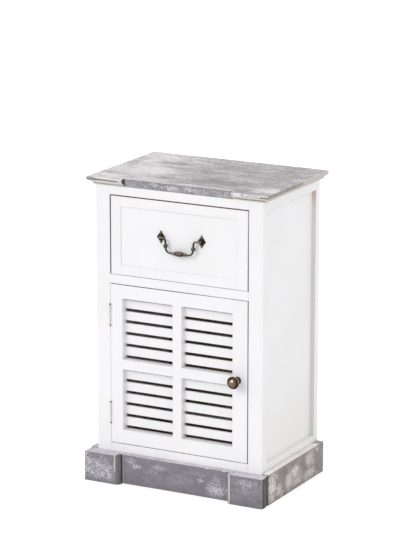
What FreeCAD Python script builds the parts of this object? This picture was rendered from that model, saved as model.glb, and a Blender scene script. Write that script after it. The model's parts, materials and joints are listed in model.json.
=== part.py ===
# Storage cabinet: a painted carcass on a board plinth, a drawer over a louvred door, and a moulded top.
# Millimetres. +X is right and +Y is back as one faces the cabinet, +Z is up.
# The origin is on the floor, under the middle of the cabinet's outline.
import FreeCAD, Part
import math
import os

Vector = FreeCAD.Vector

# Carcass: four posts that run to the floor, with rails and panels between them
carcass_width = 370.0
carcass_depth = 250.0
carcass_height = 606.0
post_width = 31.0
front_post_depth = 22.0
rear_post_depth = 17.0
top_rail_height = 18.0
drawer_opening_height = 161.5
middle_rail_height = 18.5
middle_rail_depth = 40.0
front_bottom_rail_rise = 16.5
hidden_rail_drop = 16.0
side_top_rail_height = 20.0
side_bottom_rail_rise = 15.8
side_rail_thickness = 18.0
side_panel_recess = 9.0
side_panel_thickness = 6.0
rear_top_rail_height = 32.0
rear_bottom_rail_height = 40.0
back_panel_thickness = 4.0
back_panel_recess = 5.0
groove_depth = 6.0
groove_play = 0.5
floor_thickness = 8.0
floor_step = 2.0
frame_edge_round = 0.9

# Plinth boards round the foot of the posts; the side boards stand a step higher than the front ones
plinth_height = 61.0
plinth_side_step = 2.0
plinth_front_thickness = 14.0
plinth_side_thickness = 15.0
plinth_end_setback = 1.5
plinth_back_setback = 2.5
plinth_block_width = 79.0
plinth_block_thickness = 14.5
plinth_edge_round = 1.2
block_inner_round = 9.0
nail_radius = 0.8
nail_length = 22.0
nail_head_radius = 1.5
nail_head_thickness = 0.7
nail_inset = 7.0
nail_upper_drop = 9.0
nail_lower_rise = 16.0

# Top: a board with a moulded edge, set back between its front corners behind a flat strip
top_thickness = 16.8
top_side_overhang = 15.0
top_front_overhang = 12.0
top_back_overhang = 8.5
moulding_reach = 12.0
nose_height = 9.3
fillet_height = 1.5
fillet_step = 0.8
cove_foot = 1.5
top_corner_left_width = 80.0
top_corner_right_width = 79.0
strip_thickness = 8.0
strip_right_length = 62.3
strip_edge_round = 1.2

# Drawer
drawer_left_gap = 2.8
drawer_right_gap = 2.4
drawer_top_gap = 2.0
drawer_bottom_gap = 1.0
drawer_front_thickness = 16.0
drawer_stile_width = 21.9
drawer_top_rail_height = 19.5
drawer_bottom_rail_height = 19.5
drawer_field_recess = 2.5
drawer_panel_thickness = 8.0
drawer_side_play = 1.5
drawer_side_thickness = 10.0
drawer_side_height = 124.0
drawer_back_thickness = 10.0
drawer_back_drop = 6.0
drawer_bottom_thickness = 4.0
drawer_bottom_rise = 8.0
drawer_bottom_groove = 4.0
runner_width = 16.0
guide_rise = 22.0
drawer_stop_height = 12.0
drawer_stop_length = 15.0

# Drawer handle: a bail that swings in two eyes on pointed rosettes
handle_spacing = 90.0
handle_offset = 5.5
handle_drop = 74.0
rosette_height = 27.0
rosette_width = 18.5
rosette_thickness = 2.4
eye_radius = 3.6
eye_standoff = 8.5
eye_tip = 4.4
bail_radius = 2.0
bail_pin_radius = 1.7
bail_pin_play = 0.08
bail_end_length = 2.5
bail_shoulder_inset = 13.0
bail_shoulder_round = 5.0
bail_foot_inset = 15.0
bail_foot_round = 10.0
bail_drop = 28.0
bail_tilt = 2.0
bail_collar_radius = 4.4
bail_collar_length = 6.5
bail_bead_radius = 3.6
bail_bead_length = 3.0
bail_bead_spread = 12.6
bail_grip_radius = 4.7
bail_grip_end_radius = 3.2
handle_screw_radius = 1.6
handle_screw_head_radius = 3.6
handle_screw_head_thickness = 2.0

# Door
door_thickness = 18.0
door_hinge_gap = 0.4
door_free_gap = 2.0
door_top_gap = 1.2
door_bottom_gap = 1.7
door_hinge_stile_width = 27.0
door_free_stile_width = 32.5
door_centre_stile_width = 19.5
door_top_rail_height = 27.6
door_middle_rail_height = 20.0
door_bottom_rail_height = 28.6
door_edge_round = 0.8
slat_height = 17.6
slat_gap = 6.6
slat_top_gap = 4.7
slat_thickness = 5.0
slat_recess = 12.0
slat_housing = 5.0
slat_edge_round = 1.0

# Door knob
knob_from_free_edge = 21.0
knob_above_middle = 3.0
knob_radius = 12.8
knob_reach = 27.0
knob_foot_radius = 7.6
knob_foot_thickness = 4.0
knob_neck_radius = 4.0
knob_rim_thickness = 5.0
knob_dome_radius = 8.8
knob_dome_rise = 4.0
knob_groove_depth = 1.4
knob_screw_radius = 2.0
knob_screw_head_radius = 4.0
knob_screw_head_thickness = 2.2
knob_screw_grip = 9.0

# Butt hinges
hinge_length = 45.0
upper_hinge_drop = 42.5
lower_hinge_rise = 41.0
knuckle_radius = 1.6
knuckle_proud = 1.2
knuckle_clearance = 0.3
outer_knuckle_length = 13.0
hinge_pin_radius = 0.9
hinge_pin_play = 0.06
hinge_pin_tip = 0.9
leaf_thickness = 1.0
leaf_sink = 0.9
leaf_width = 14.0
leaf_screw_inset = 9.0
leaf_screw_end = 7.5
leaf_screw_length = 12.0
leaf_screw_radius = 1.1
leaf_screw_head_radius = 2.2

# Magnetic catch under the middle rail, and its plate on the door
catch_width = 38.0
catch_depth = 12.0
catch_height = 13.0
catch_inset = 12.0
catch_gap = 0.2
catch_edge_round = 1.0
catch_plate_width = 26.0
catch_plate_height = 11.0
catch_plate_thickness = 1.0

# Cuts run past the faces that they open by this much
overrun = 2.0
coincident = 0.001

# Planes that the pieces share
plinth_reach = plinth_front_thickness + plinth_block_thickness
total_depth = plinth_reach + carcass_depth + top_back_overhang
front = plinth_reach - total_depth / 2
back = front + carcass_depth
side = carcass_width / 2
opening_side = side - post_width
post_back = front + front_post_depth
rear_post_front = back - rear_post_depth
panel_out = side - side_panel_recess
panel_in = panel_out - side_panel_thickness
drawer_opening_top = carcass_height - top_rail_height
drawer_opening_bottom = drawer_opening_top - drawer_opening_height
door_opening_top = drawer_opening_bottom - middle_rail_height
door_opening_bottom = plinth_height + front_bottom_rail_rise
door_opening_height = door_opening_top - door_opening_bottom
side_rail_top = plinth_height + side_bottom_rail_rise
rail_foot = plinth_height - hidden_rail_drop
floor_top = door_opening_bottom - floor_step
floor_under = floor_top - floor_thickness
back_panel_rear = back - back_panel_recess
back_panel_front = back_panel_rear - back_panel_thickness
rear_rail_top = rail_foot + rear_bottom_rail_height
rear_rail_foot = carcass_height - rear_top_rail_height
drawer_box_length = rear_post_front - drawer_stop_length - front - drawer_front_thickness

nodes = {}


def box(x0, x1, y0, y1, z0, z1):
    return Part.makeBox(x1 - x0, y1 - y0, z1 - z0, Vector(x0, y0, z0))


def mirrored(shape):
    return shape.mirror(Vector(), Vector(1, 0, 0))


def joined(shapes):
    whole = shapes[0].fuse(shapes[1:]) if len(shapes) > 1 else shapes[0]
    return whole.removeSplitter()


def edges_at(shape, x=None, y=None, z=None):
    """Straight edges that lie at the given coordinates."""
    found = []
    for edge in shape.Edges:
        b = edge.BoundBox
        spans = ((x, b.XMin, b.XMax), (y, b.YMin, b.YMax), (z, b.ZMin, b.ZMax))
        misses = [max(abs(low - want), abs(high - want)) for want, low, high in spans if want is not None]
        if max(misses) < coincident:
            found.append(edge)
    return found


def eased(shape, radius, *places):
    """The shape with the edges at each place rounded."""
    edges = [edge for place in places for edge in edges_at(shape, **place)]
    return shape.makeFillet(radius, edges)


def turned(outline, centre, outward):
    """A solid of revolution. The outline is (radius, distance along outward) pairs, closed on the axis."""
    sideways = Vector(0, 0, 1) if abs(outward.z) < abs(outward.x) + abs(outward.y) else Vector(1, 0, 0)
    across = outward.cross(sideways).normalize()
    points = [centre + across * radius + outward * along for radius, along in outline]
    face = Part.Face(Part.makePolygon(points + points[:1]))
    return face.revolve(centre, outward, 360)


def put_both(name, right_shape):
    nodes[name + "_right"] = right_shape
    nodes[name + "_left"] = mirrored(right_shape)


# Door and hinge places, which the posts need too
door_left = -opening_side + door_hinge_gap
door_right = opening_side - door_free_gap
door_bottom = door_opening_bottom + door_bottom_gap
door_top = door_opening_top - door_top_gap
door_back = front + door_thickness
hinge_x = -opening_side + door_hinge_gap / 2
hinge_y = front - knuckle_proud
frame_leaf_x = -opening_side - leaf_sink
door_leaf_x = door_left + leaf_sink - leaf_thickness
hinge_feet = (
    door_opening_top - upper_hinge_drop - hinge_length,
    door_opening_bottom + lower_hinge_rise,
)


def hinge_cylinder(radius, z0, z1):
    return Part.makeCylinder(radius, z1 - z0, Vector(hinge_x, hinge_y, z0), Vector(0, 0, 1))


def leaf_plate(x0, foot):
    return box(x0, x0 + leaf_thickness, hinge_y, hinge_y + leaf_width, foot, foot + hinge_length)


def knuckle_room(foot):
    return hinge_cylinder(
        knuckle_radius + knuckle_clearance, foot - knuckle_clearance, foot + hinge_length + knuckle_clearance
    )


def leaf_screws(foot, face_x, inward):
    """Countersunk screws through one leaf, heads flush with its open face."""
    outline = [
        (0, 0),
        (leaf_screw_head_radius, 0),
        (leaf_screw_radius, leaf_screw_head_radius - leaf_screw_radius),
        (leaf_screw_radius, leaf_screw_length - leaf_screw_radius),
        (0, leaf_screw_length),
    ]
    heights = (foot + leaf_screw_end, foot + hinge_length / 2, foot + hinge_length - leaf_screw_end)
    return [turned(outline, Vector(face_x, hinge_y + leaf_screw_inset, z), inward) for z in heights]


frame_screws = []
door_screws = []
for hinge_foot in hinge_feet:
    frame_screws += leaf_screws(hinge_foot, frame_leaf_x + leaf_thickness, Vector(-1, 0, 0))
    door_screws += leaf_screws(hinge_foot, door_leaf_x, Vector(1, 0, 0))


def make_hinges():
    frame_leaves = []
    door_leaves = []
    pins = []
    for foot in hinge_feet:
        low = foot + outer_knuckle_length
        high = foot + hinge_length - outer_knuckle_length
        head = foot + hinge_length
        pin_hole = hinge_cylinder(hinge_pin_radius, foot - overrun, head + overrun)
        loose_hole = hinge_cylinder(hinge_pin_radius + hinge_pin_play, foot - overrun, head + overrun)
        room = knuckle_radius + knuckle_clearance
        outer = [hinge_cylinder(knuckle_radius, foot, low), hinge_cylinder(knuckle_radius, high, head)]
        middle = hinge_cylinder(knuckle_radius, low + knuckle_clearance, high - knuckle_clearance)
        frame_plate = leaf_plate(frame_leaf_x, foot).cut([hinge_cylinder(room, low, high)])
        door_plate = leaf_plate(door_leaf_x, foot).cut(
            [
                hinge_cylinder(room, foot - overrun, low + knuckle_clearance),
                hinge_cylinder(room, high - knuckle_clearance, head + overrun),
            ]
        )
        frame_leaves.append(joined([frame_plate] + outer).cut([pin_hole] + frame_screws))
        door_leaves.append(joined([door_plate, middle]).cut([loose_hole] + door_screws))
        pins.append(hinge_cylinder(hinge_pin_radius, foot - hinge_pin_tip, head + hinge_pin_tip))
    nodes["hinge_frame_leaves"] = Part.makeCompound(frame_leaves)
    nodes["hinge_door_leaves"] = Part.makeCompound(door_leaves)
    nodes["hinge_pins"] = Part.makeCompound(pins)
    nodes["hinge_frame_screws"] = Part.makeCompound(frame_screws)
    nodes["hinge_door_screws"] = Part.makeCompound(door_screws)


# Carcass


def side_panel_room(play):
    """The space of the right side panel, its edges short of the groove floors by the play."""
    reach = groove_depth - play
    return box(
        panel_in, panel_out, post_back - reach, rear_post_front + reach,
        side_rail_top - reach, carcass_height - side_top_rail_height + reach,
    )


def back_panel_room(play):
    reach = groove_depth - play
    return box(
        -opening_side - reach, opening_side + reach, back_panel_front, back_panel_rear,
        rear_rail_top - reach, rear_rail_foot + reach,
    )


def make_posts():
    blank = box(opening_side, side, front, post_back, 0, carcass_height)
    blank = eased(blank, frame_edge_round, {"x": side, "y": front}, {"x": opening_side, "y": front})
    blank = blank.cut(side_panel_room(0))
    left_cuts = [knuckle_room(foot) for foot in hinge_feet]
    left_cuts += [leaf_plate(frame_leaf_x, foot) for foot in hinge_feet] + frame_screws
    nodes["front_post_right"] = blank
    nodes["front_post_left"] = mirrored(blank).cut(left_cuts)

    rear = box(opening_side, side, rear_post_front, back, 0, carcass_height)
    rear = eased(rear, frame_edge_round, {"x": side, "y": rear_post_front}, {"x": side, "y": back})
    put_both("rear_post", rear.cut([side_panel_room(0), back_panel_room(0)]))


def make_front_rails():
    top = box(-opening_side, opening_side, front, post_back, drawer_opening_top, carcass_height)
    nodes["front_top_rail"] = eased(top, frame_edge_round, {"y": front, "z": drawer_opening_top})
    middle = box(
        -opening_side, opening_side, front, front + middle_rail_depth, door_opening_top, drawer_opening_bottom
    )
    front_edges = [{"y": front, "z": z} for z in (door_opening_top, drawer_opening_bottom)]
    nodes["front_middle_rail"] = eased(middle, frame_edge_round, *front_edges)
    bottom = box(-opening_side, opening_side, front, post_back, rail_foot, door_opening_bottom)
    bottom = eased(bottom, frame_edge_round, {"y": front, "z": door_opening_bottom})
    nodes["front_bottom_rail"] = bottom.cut(floor_room(0))


def floor_room(play):
    """The floor board, with a tongue into the front rail and one into the rear rail."""
    reach = groove_depth - play
    width = side - side_rail_thickness
    board = box(-width, width, post_back, rear_post_front, floor_under, floor_top)
    tongue_front = post_back - reach
    tongue_back = rear_post_front + reach
    tongues = box(-opening_side, opening_side, tongue_front, tongue_back, floor_under, floor_top)
    return joined([board, tongues])


def make_sides_and_back():
    inner = side - side_rail_thickness
    top = box(inner, side, post_back, rear_post_front, carcass_height - side_top_rail_height, carcass_height)
    top = eased(top, frame_edge_round, {"x": side, "z": carcass_height - side_top_rail_height})
    put_both("side_top_rail", top.cut(side_panel_room(0)))
    bottom = box(inner, side, post_back, rear_post_front, rail_foot, side_rail_top)
    bottom = eased(bottom, frame_edge_round, {"x": side, "z": side_rail_top})
    put_both("side_bottom_rail", bottom.cut(side_panel_room(0)))
    put_both("side_panel", side_panel_room(groove_play))

    rear_top = box(-opening_side, opening_side, rear_post_front, back, rear_rail_foot, carcass_height)
    nodes["rear_top_rail"] = rear_top.cut(back_panel_room(0))
    rear_bottom = box(-opening_side, opening_side, rear_post_front, back, rail_foot, rear_rail_top)
    nodes["rear_bottom_rail"] = rear_bottom.cut([back_panel_room(0), floor_room(0)])
    nodes["back_panel"] = back_panel_room(groove_play)
    nodes["floor_board"] = floor_room(groove_play)


def make_drawer_runners():
    guide_top = drawer_opening_bottom + guide_rise
    guide = box(opening_side, panel_in, post_back, rear_post_front, door_opening_top, guide_top)
    runner = box(
        opening_side - runner_width, opening_side, front + middle_rail_depth, rear_post_front,
        door_opening_top, drawer_opening_bottom,
    )
    stop = box(
        opening_side - drawer_side_play - drawer_side_thickness, opening_side - drawer_side_play,
        rear_post_front - drawer_stop_length, rear_post_front,
        drawer_opening_bottom, drawer_opening_bottom + drawer_stop_height,
    )
    put_both("drawer_guide", guide)
    nodes["drawer_runners"] = Part.makeCompound([runner, mirrored(runner)])
    nodes["drawer_stops"] = Part.makeCompound([stop, mirrored(stop)])


# Plinth


def make_plinth():
    end = side + plinth_side_thickness
    rail_end = end - plinth_end_setback
    rail_front = front - plinth_front_thickness
    block_front = rail_front - plinth_block_thickness
    block_inner = end - plinth_block_width

    nail_outline = [
        (0, 0),
        (nail_head_radius, 0),
        (nail_head_radius, nail_head_thickness),
        (nail_radius, nail_head_thickness),
        (nail_radius, nail_length - nail_radius),
        (0, nail_length),
    ]
    nail_heights = (plinth_height - nail_upper_drop, nail_lower_rise)
    right_nails = [
        turned(nail_outline, Vector(end - nail_inset, block_front, z), Vector(0, 1, 0)) for z in nail_heights
    ]
    nails = right_nails + [mirrored(nail) for nail in right_nails]
    nodes["plinth_nails"] = Part.makeCompound(nails)

    rail = box(-rail_end, rail_end, rail_front, front, 0, plinth_height)
    rail = eased(rail, plinth_edge_round, {"y": rail_front, "z": plinth_height})
    nodes["plinth_front_rail"] = rail.cut(nails)

    side_top = plinth_height + plinth_side_step
    board = box(side, end, front, back - plinth_back_setback, 0, side_top)
    board = eased(
        board, plinth_edge_round, {"x": end, "z": side_top}, {"x": end, "y": back - plinth_back_setback}
    )
    put_both("plinth_side_rail", board)

    block = box(block_inner, end, block_front, rail_front, 0, plinth_height)
    block = eased(block, block_inner_round, {"x": block_inner, "y": block_front})
    block = eased(block, plinth_edge_round, {"x": end, "y": block_front})
    top_edges = [e for e in edges_at(block, z=plinth_height) if e.BoundBox.YMax < rail_front - coincident]
    block = block.makeFillet(plinth_edge_round, top_edges)
    put_both("plinth_block", block.cut(right_nails))


# Top


def moulding(place):
    """Edges of the moulded side, from its foot to the top face. place turns (reach, height) into a point."""
    nose = nose_height / 2
    nose_foot = top_thickness - nose_height
    cove_head = nose_foot - fillet_height
    fillet_reach = moulding_reach - nose - fillet_step
    cove_width = fillet_reach - cove_foot
    middle = math.sqrt(0.5)
    cove = Part.Arc(
        place(cove_foot, 0),
        place(fillet_reach - cove_width * middle, cove_head * middle),
        place(fillet_reach, cove_head),
    )
    fillet = Part.LineSegment(place(fillet_reach, cove_head), place(fillet_reach, nose_foot))
    shelf = Part.LineSegment(place(fillet_reach, nose_foot), place(moulding_reach - nose, nose_foot))
    round_nose = Part.Arc(
        place(moulding_reach - nose, nose_foot),
        place(moulding_reach, nose_foot + nose),
        place(moulding_reach - nose, top_thickness),
    )
    return [curve.toShape() for curve in (cove, fillet, shelf, round_nose)]


def closed_face(edges, extra):
    return Part.Face(Part.Wire(Part.__sortEdges__(edges + extra)))


def make_top():
    end = side + top_side_overhang
    board_front = front - top_front_overhang
    board_back = back + top_back_overhang
    foot = end - moulding_reach
    length = board_back - board_front
    strip_front = board_front + top_front_overhang
    strip_back = strip_front + strip_thickness
    inner_left = top_corner_left_width - end
    inner_right = end - top_corner_right_width

    def right_edge(reach, height):
        return Vector(foot + reach, board_front, carcass_height + height)

    def left_edge(reach, height):
        return Vector(-foot - reach, board_front, carcass_height + height)

    def front_edge(reach, height):
        return Vector(-end, board_front + moulding_reach - reach, carcass_height + height)

    face_reach = moulding_reach - nose_height / 2
    across = [
        Part.makeLine(left_edge(cove_foot, 0), right_edge(cove_foot, 0)),
        Part.makeLine(left_edge(face_reach, top_thickness), right_edge(face_reach, top_thickness)),
    ]
    width_section = closed_face(moulding(right_edge) + moulding(left_edge), across)

    back_foot = Vector(-end, board_back, carcass_height)
    back_head = Vector(-end, board_back, carcass_height + top_thickness)
    along = [
        Part.makeLine(front_edge(cove_foot, 0), back_foot),
        Part.makeLine(back_foot, back_head),
        Part.makeLine(back_head, front_edge(face_reach, top_thickness)),
    ]
    depth_section = closed_face(moulding(front_edge), along)

    lengthwise = width_section.extrude(Vector(0, length, 0))
    crosswise = depth_section.extrude(Vector(2 * end, 0, 0))
    board = lengthwise.common(crosswise)
    top = carcass_height + top_thickness
    notch = box(
        inner_left, inner_right, board_front - overrun, strip_back, carcass_height - overrun, top + overrun
    )
    nodes["top_board"] = board.cut(notch)

    joint = inner_right - strip_right_length
    strips = []
    for x0, x1 in ((inner_left, joint), (joint, inner_right)):
        strip = box(x0, x1, strip_front, strip_back, carcass_height, top)
        strips.append(eased(strip, strip_edge_round, {"y": strip_front, "z": top}))
    nodes["top_edge_strips"] = Part.makeCompound(strips)


# Drawer

handle_z = drawer_opening_top - handle_drop
field_face = front + drawer_field_recess
eye_y = field_face - eye_standoff


def handle_screw_solids():
    outline = [
        (0, 0),
        (handle_screw_head_radius, 0),
        (handle_screw_head_radius, handle_screw_head_thickness),
        (handle_screw_radius, handle_screw_head_thickness),
        (handle_screw_radius, handle_screw_head_thickness + drawer_panel_thickness + rosette_thickness),
        (0, handle_screw_head_thickness + drawer_panel_thickness + rosette_thickness),
    ]
    head_y = field_face + drawer_panel_thickness + handle_screw_head_thickness
    places = (handle_offset - handle_spacing / 2, handle_offset + handle_spacing / 2)
    return [turned(outline, Vector(x, head_y, handle_z), Vector(0, -1, 0)) for x in places]


def make_drawer_front(screws):
    left = -opening_side + drawer_left_gap
    right = opening_side - drawer_right_gap
    low = drawer_opening_bottom + drawer_bottom_gap
    high = drawer_opening_top - drawer_top_gap
    rear = front + drawer_front_thickness
    field_left = left + drawer_stile_width
    field_right = right - drawer_stile_width
    field_low = low + drawer_bottom_rail_height
    field_high = high - drawer_top_rail_height

    def panel(play):
        reach = groove_depth - play
        return box(
            field_left - reach, field_right + reach, field_face, field_face + drawer_panel_thickness,
            field_low - reach, field_high + reach,
        )

    stile_left = box(left, field_left, front, rear, low, high)
    stile_left = eased(stile_left, frame_edge_round, {"x": left, "y": front})
    stile_right = box(field_right, right, front, rear, low, high)
    stile_right = eased(stile_right, frame_edge_round, {"x": right, "y": front})
    rail_top = box(field_left, field_right, front, rear, field_high, high)
    rail_top = eased(rail_top, frame_edge_round, {"y": front, "z": high})
    rail_bottom = box(field_left, field_right, front, rear, low, field_low)
    rail_bottom = eased(rail_bottom, frame_edge_round, {"y": front, "z": low})
    nodes["drawer_front_stile_left"] = stile_left.cut(panel(0))
    nodes["drawer_front_stile_right"] = stile_right.cut(panel(0))
    nodes["drawer_front_top_rail"] = rail_top.cut(panel(0))
    nodes["drawer_front_bottom_rail"] = rail_bottom.cut([panel(0), drawer_bottom_room(0)])
    nodes["drawer_front_panel"] = panel(groove_play).cut(screws)


def drawer_bottom_room(play):
    """The drawer's bottom, let into grooves in its sides and in the front's lower rail."""
    reach = drawer_bottom_groove - play
    inner = opening_side - drawer_side_play - drawer_side_thickness
    box_front = front + drawer_front_thickness
    low = drawer_opening_bottom + drawer_bottom_rise
    high = low + drawer_bottom_thickness
    tongue_left = -opening_side + drawer_left_gap + drawer_stile_width
    tongue_right = opening_side - drawer_right_gap - drawer_stile_width
    main = box(-inner - reach, inner + reach, box_front, box_front + drawer_box_length, low, high)
    tongue = box(tongue_left, tongue_right, box_front - reach, box_front + reach, low, high)
    return joined([main, tongue])


def make_drawer_box():
    outer = opening_side - drawer_side_play
    inner = outer - drawer_side_thickness
    box_front = front + drawer_front_thickness
    box_back = box_front + drawer_box_length
    low = drawer_opening_bottom
    high = low + drawer_side_height
    bottom_top = low + drawer_bottom_rise + drawer_bottom_thickness
    wall = box(inner, outer, box_front, box_back, low, high)
    put_both("drawer_side", wall.cut(drawer_bottom_room(0)))
    nodes["drawer_back"] = box(
        -inner, inner, box_back - drawer_back_thickness, box_back, bottom_top, high - drawer_back_drop
    )
    nodes["drawer_bottom"] = drawer_bottom_room(groove_play)


def rosette_plate(x):
    """A pointed leaf, drawn with four hollow arcs between its tips and its waist corners."""
    tip = rosette_height / 2
    half = rosette_width / 2
    hollow_share = 0.42
    face_y = field_face - rosette_thickness
    corners = ((0, tip), (half, 0), (0, -tip), (-half, 0))
    edges = []
    for (u0, v0), (u1, v1) in zip(corners, corners[1:] + corners[:1]):
        start = Vector(x + u0, face_y, handle_z + v0)
        end = Vector(x + u1, face_y, handle_z + v1)
        inner = Vector(x + (u0 + u1) * hollow_share, face_y, handle_z + (v0 + v1) * hollow_share)
        edges.append(Part.Arc(start, inner, end).toShape())
    plate = Part.Face(Part.Wire(edges)).extrude(Vector(0, rosette_thickness, 0))
    seat = Vector(x, field_face, handle_z)
    boss = Part.makeCylinder(eye_radius, eye_standoff + eye_tip, seat, Vector(0, -1, 0))
    tip_circle = [e for e in boss.Edges if abs(e.BoundBox.YMax - (eye_y - eye_tip)) < coincident]
    boss = boss.makeFillet(eye_radius / 2, tip_circle)
    return joined([plate, boss])


def make_rosettes(screws):
    hole = Part.makeCylinder(
        bail_pin_radius + bail_pin_play, 2 * handle_spacing,
        Vector(handle_offset - handle_spacing, eye_y, handle_z), Vector(1, 0, 0),
    )
    for name, way in (("left", -1), ("right", 1)):
        x = handle_offset + way * handle_spacing / 2
        nodes["handle_rosette_" + name] = rosette_plate(x).cut([hole] + screws)


def bail_point(across, drop):
    """A point in the bail's plane, which hangs forward of upright from the eyes."""
    tilt = math.radians(bail_tilt)
    return Vector(handle_offset + across, eye_y - drop * math.sin(tilt), handle_z - drop * math.cos(tilt))


def rounded_run(points, radii):
    """Straight runs joined by tangent arcs."""
    edges = []
    start = points[0]
    for before, corner, after, radius in zip(points, points[1:], points[2:], radii):
        inward = (before - corner).normalize()
        onward = (after - corner).normalize()
        half_turn = (math.pi - inward.getAngle(onward)) / 2
        tangent = radius * math.tan(half_turn)
        first = corner + inward * tangent
        last = corner + onward * tangent
        middle_way = (inward + onward).normalize()
        middle = corner + middle_way * (radius / math.cos(half_turn) - radius)
        edges.append(Part.makeLine(start, first))
        edges.append(Part.Arc(first, middle, last).toShape())
        start = last
    edges.append(Part.makeLine(start, points[-1]))
    return edges


def make_bail():
    half = handle_spacing / 2
    shoulder = half - bail_shoulder_inset
    foot = half - bail_foot_inset
    ends = half - eye_radius - bail_pin_play
    corners = [
        bail_point(-ends, 0), bail_point(-shoulder, 0), bail_point(-foot, bail_drop),
        bail_point(foot, bail_drop), bail_point(shoulder, 0), bail_point(ends, 0),
    ]
    runs = rounded_run(corners, [bail_shoulder_round, bail_foot_round, bail_foot_round, bail_shoulder_round])
    section = Part.Wire(Part.makeCircle(bail_radius, corners[0], Vector(1, 0, 0)))
    rod = Part.Wire(runs).makePipeShell([section], True, False)
    pieces = [rod]
    for way in (-1, 1):
        pin_start = bail_point(way * ends, 0)
        pin_length = 2 * eye_radius + bail_end_length
        pieces.append(Part.makeCylinder(bail_pin_radius, pin_length, pin_start, Vector(way, 0, 0)))
        arm = (bail_point(way * foot, bail_drop) - bail_point(way * shoulder, 0)).normalize()
        collar_middle = (bail_point(way * foot, bail_drop) + bail_point(way * shoulder, 0)) / 2
        collar_outline = [
            (0, -bail_collar_length / 2),
            (bail_radius, -bail_collar_length / 2),
            (bail_collar_radius, 0),
            (bail_radius, bail_collar_length / 2),
            (0, bail_collar_length / 2),
        ]
        pieces.append(turned(collar_outline, collar_middle, arm))
        bead_outline = [
            (0, -bail_bead_length / 2),
            (bail_bead_radius, -bail_bead_length / 2),
            (bail_bead_radius, bail_bead_length / 2),
            (0, bail_bead_length / 2),
        ]
        pieces.append(turned(bead_outline, bail_point(way * bail_bead_spread, bail_drop), Vector(1, 0, 0)))
    grip_half = bail_bead_spread - bail_bead_length / 2
    grip_outline = [
        (0, -grip_half), (bail_grip_end_radius, -grip_half), (bail_grip_radius, 0),
        (bail_grip_end_radius, grip_half), (0, grip_half),
    ]
    pieces.append(turned(grip_outline, bail_point(0, bail_drop), Vector(1, 0, 0)))
    nodes["handle_bail"] = joined(pieces)


def make_drawer():
    screws = handle_screw_solids()
    nodes["handle_screws"] = Part.makeCompound(screws)
    make_drawer_front(screws)
    make_drawer_box()
    make_rosettes(screws)
    make_bail()


# Door

hinge_stile_inner = door_left + door_hinge_stile_width
free_stile_inner = door_right - door_free_stile_width
bay_width = (free_stile_inner - hinge_stile_inner - door_centre_stile_width) / 2
centre_left = hinge_stile_inner + bay_width
centre_right = free_stile_inner - bay_width
rail_low_top = door_bottom + door_bottom_rail_height
rail_high_foot = door_top - door_top_rail_height
bay_height = (rail_high_foot - rail_low_top - door_middle_rail_height) / 2
middle_rail_foot = rail_low_top + bay_height
middle_rail_top = middle_rail_foot + door_middle_rail_height
bay_sides = ((hinge_stile_inner, centre_left), (centre_right, free_stile_inner))
bay_feet = {"lower": rail_low_top, "upper": middle_rail_top}
slat_count = int((bay_height - slat_top_gap + coincident) // (slat_height + slat_gap))
slat_pitch = (bay_height - slat_top_gap) / slat_count
knob_height = door_opening_bottom + door_opening_height / 2 + knob_above_middle


def bay_slats(x0, x1, foot):
    """Upright slats across one bay, their ends housed in the stiles on either side."""
    slat_front = front + slat_recess
    slats = []
    for number in range(slat_count):
        high = foot + (number + 1) * slat_pitch
        low = high - slat_height
        slat = box(x0 - slat_housing, x1 + slat_housing, slat_front, slat_front + slat_thickness, low, high)
        slats.append(eased(slat, slat_edge_round, {"y": slat_front, "z": low}, {"y": slat_front, "z": high}))
    return slats


def knob_parts():
    centre = Vector(door_right - knob_from_free_edge, front, knob_height)
    rim_back = knob_reach - knob_dome_rise - knob_rim_thickness
    rim_front = rim_back + knob_rim_thickness
    rim_chamfer = knob_rim_thickness / 4
    outline = [
        (0, 0),
        (knob_foot_radius, 0),
        (knob_foot_radius, knob_foot_thickness / 2),
        (knob_neck_radius, knob_foot_thickness),
        (knob_neck_radius, rim_back - knob_foot_thickness),
        (knob_radius - rim_chamfer, rim_back),
        (knob_radius, rim_back + rim_chamfer),
        (knob_radius, rim_front - rim_chamfer),
        (knob_radius - rim_chamfer, rim_front),
        (knob_dome_radius, rim_front - knob_groove_depth),
        (knob_dome_radius * math.cos(math.pi / 6), rim_front + knob_dome_rise / 2),
        (knob_dome_radius / 2, knob_reach - knob_dome_rise / 6),
        (0, knob_reach),
    ]
    screw_outline = [
        (0, 0),
        (knob_screw_head_radius, 0),
        (knob_screw_head_radius, knob_screw_head_thickness),
        (knob_screw_radius, knob_screw_head_thickness),
        (knob_screw_radius, knob_screw_head_thickness + door_thickness + knob_screw_grip),
        (0, knob_screw_head_thickness + door_thickness + knob_screw_grip),
    ]
    head = Vector(centre.x, door_back + knob_screw_head_thickness, centre.z)
    screw = turned(screw_outline, head, Vector(0, -1, 0))
    return turned(outline, centre, Vector(0, -1, 0)).cut(screw), screw


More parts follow.
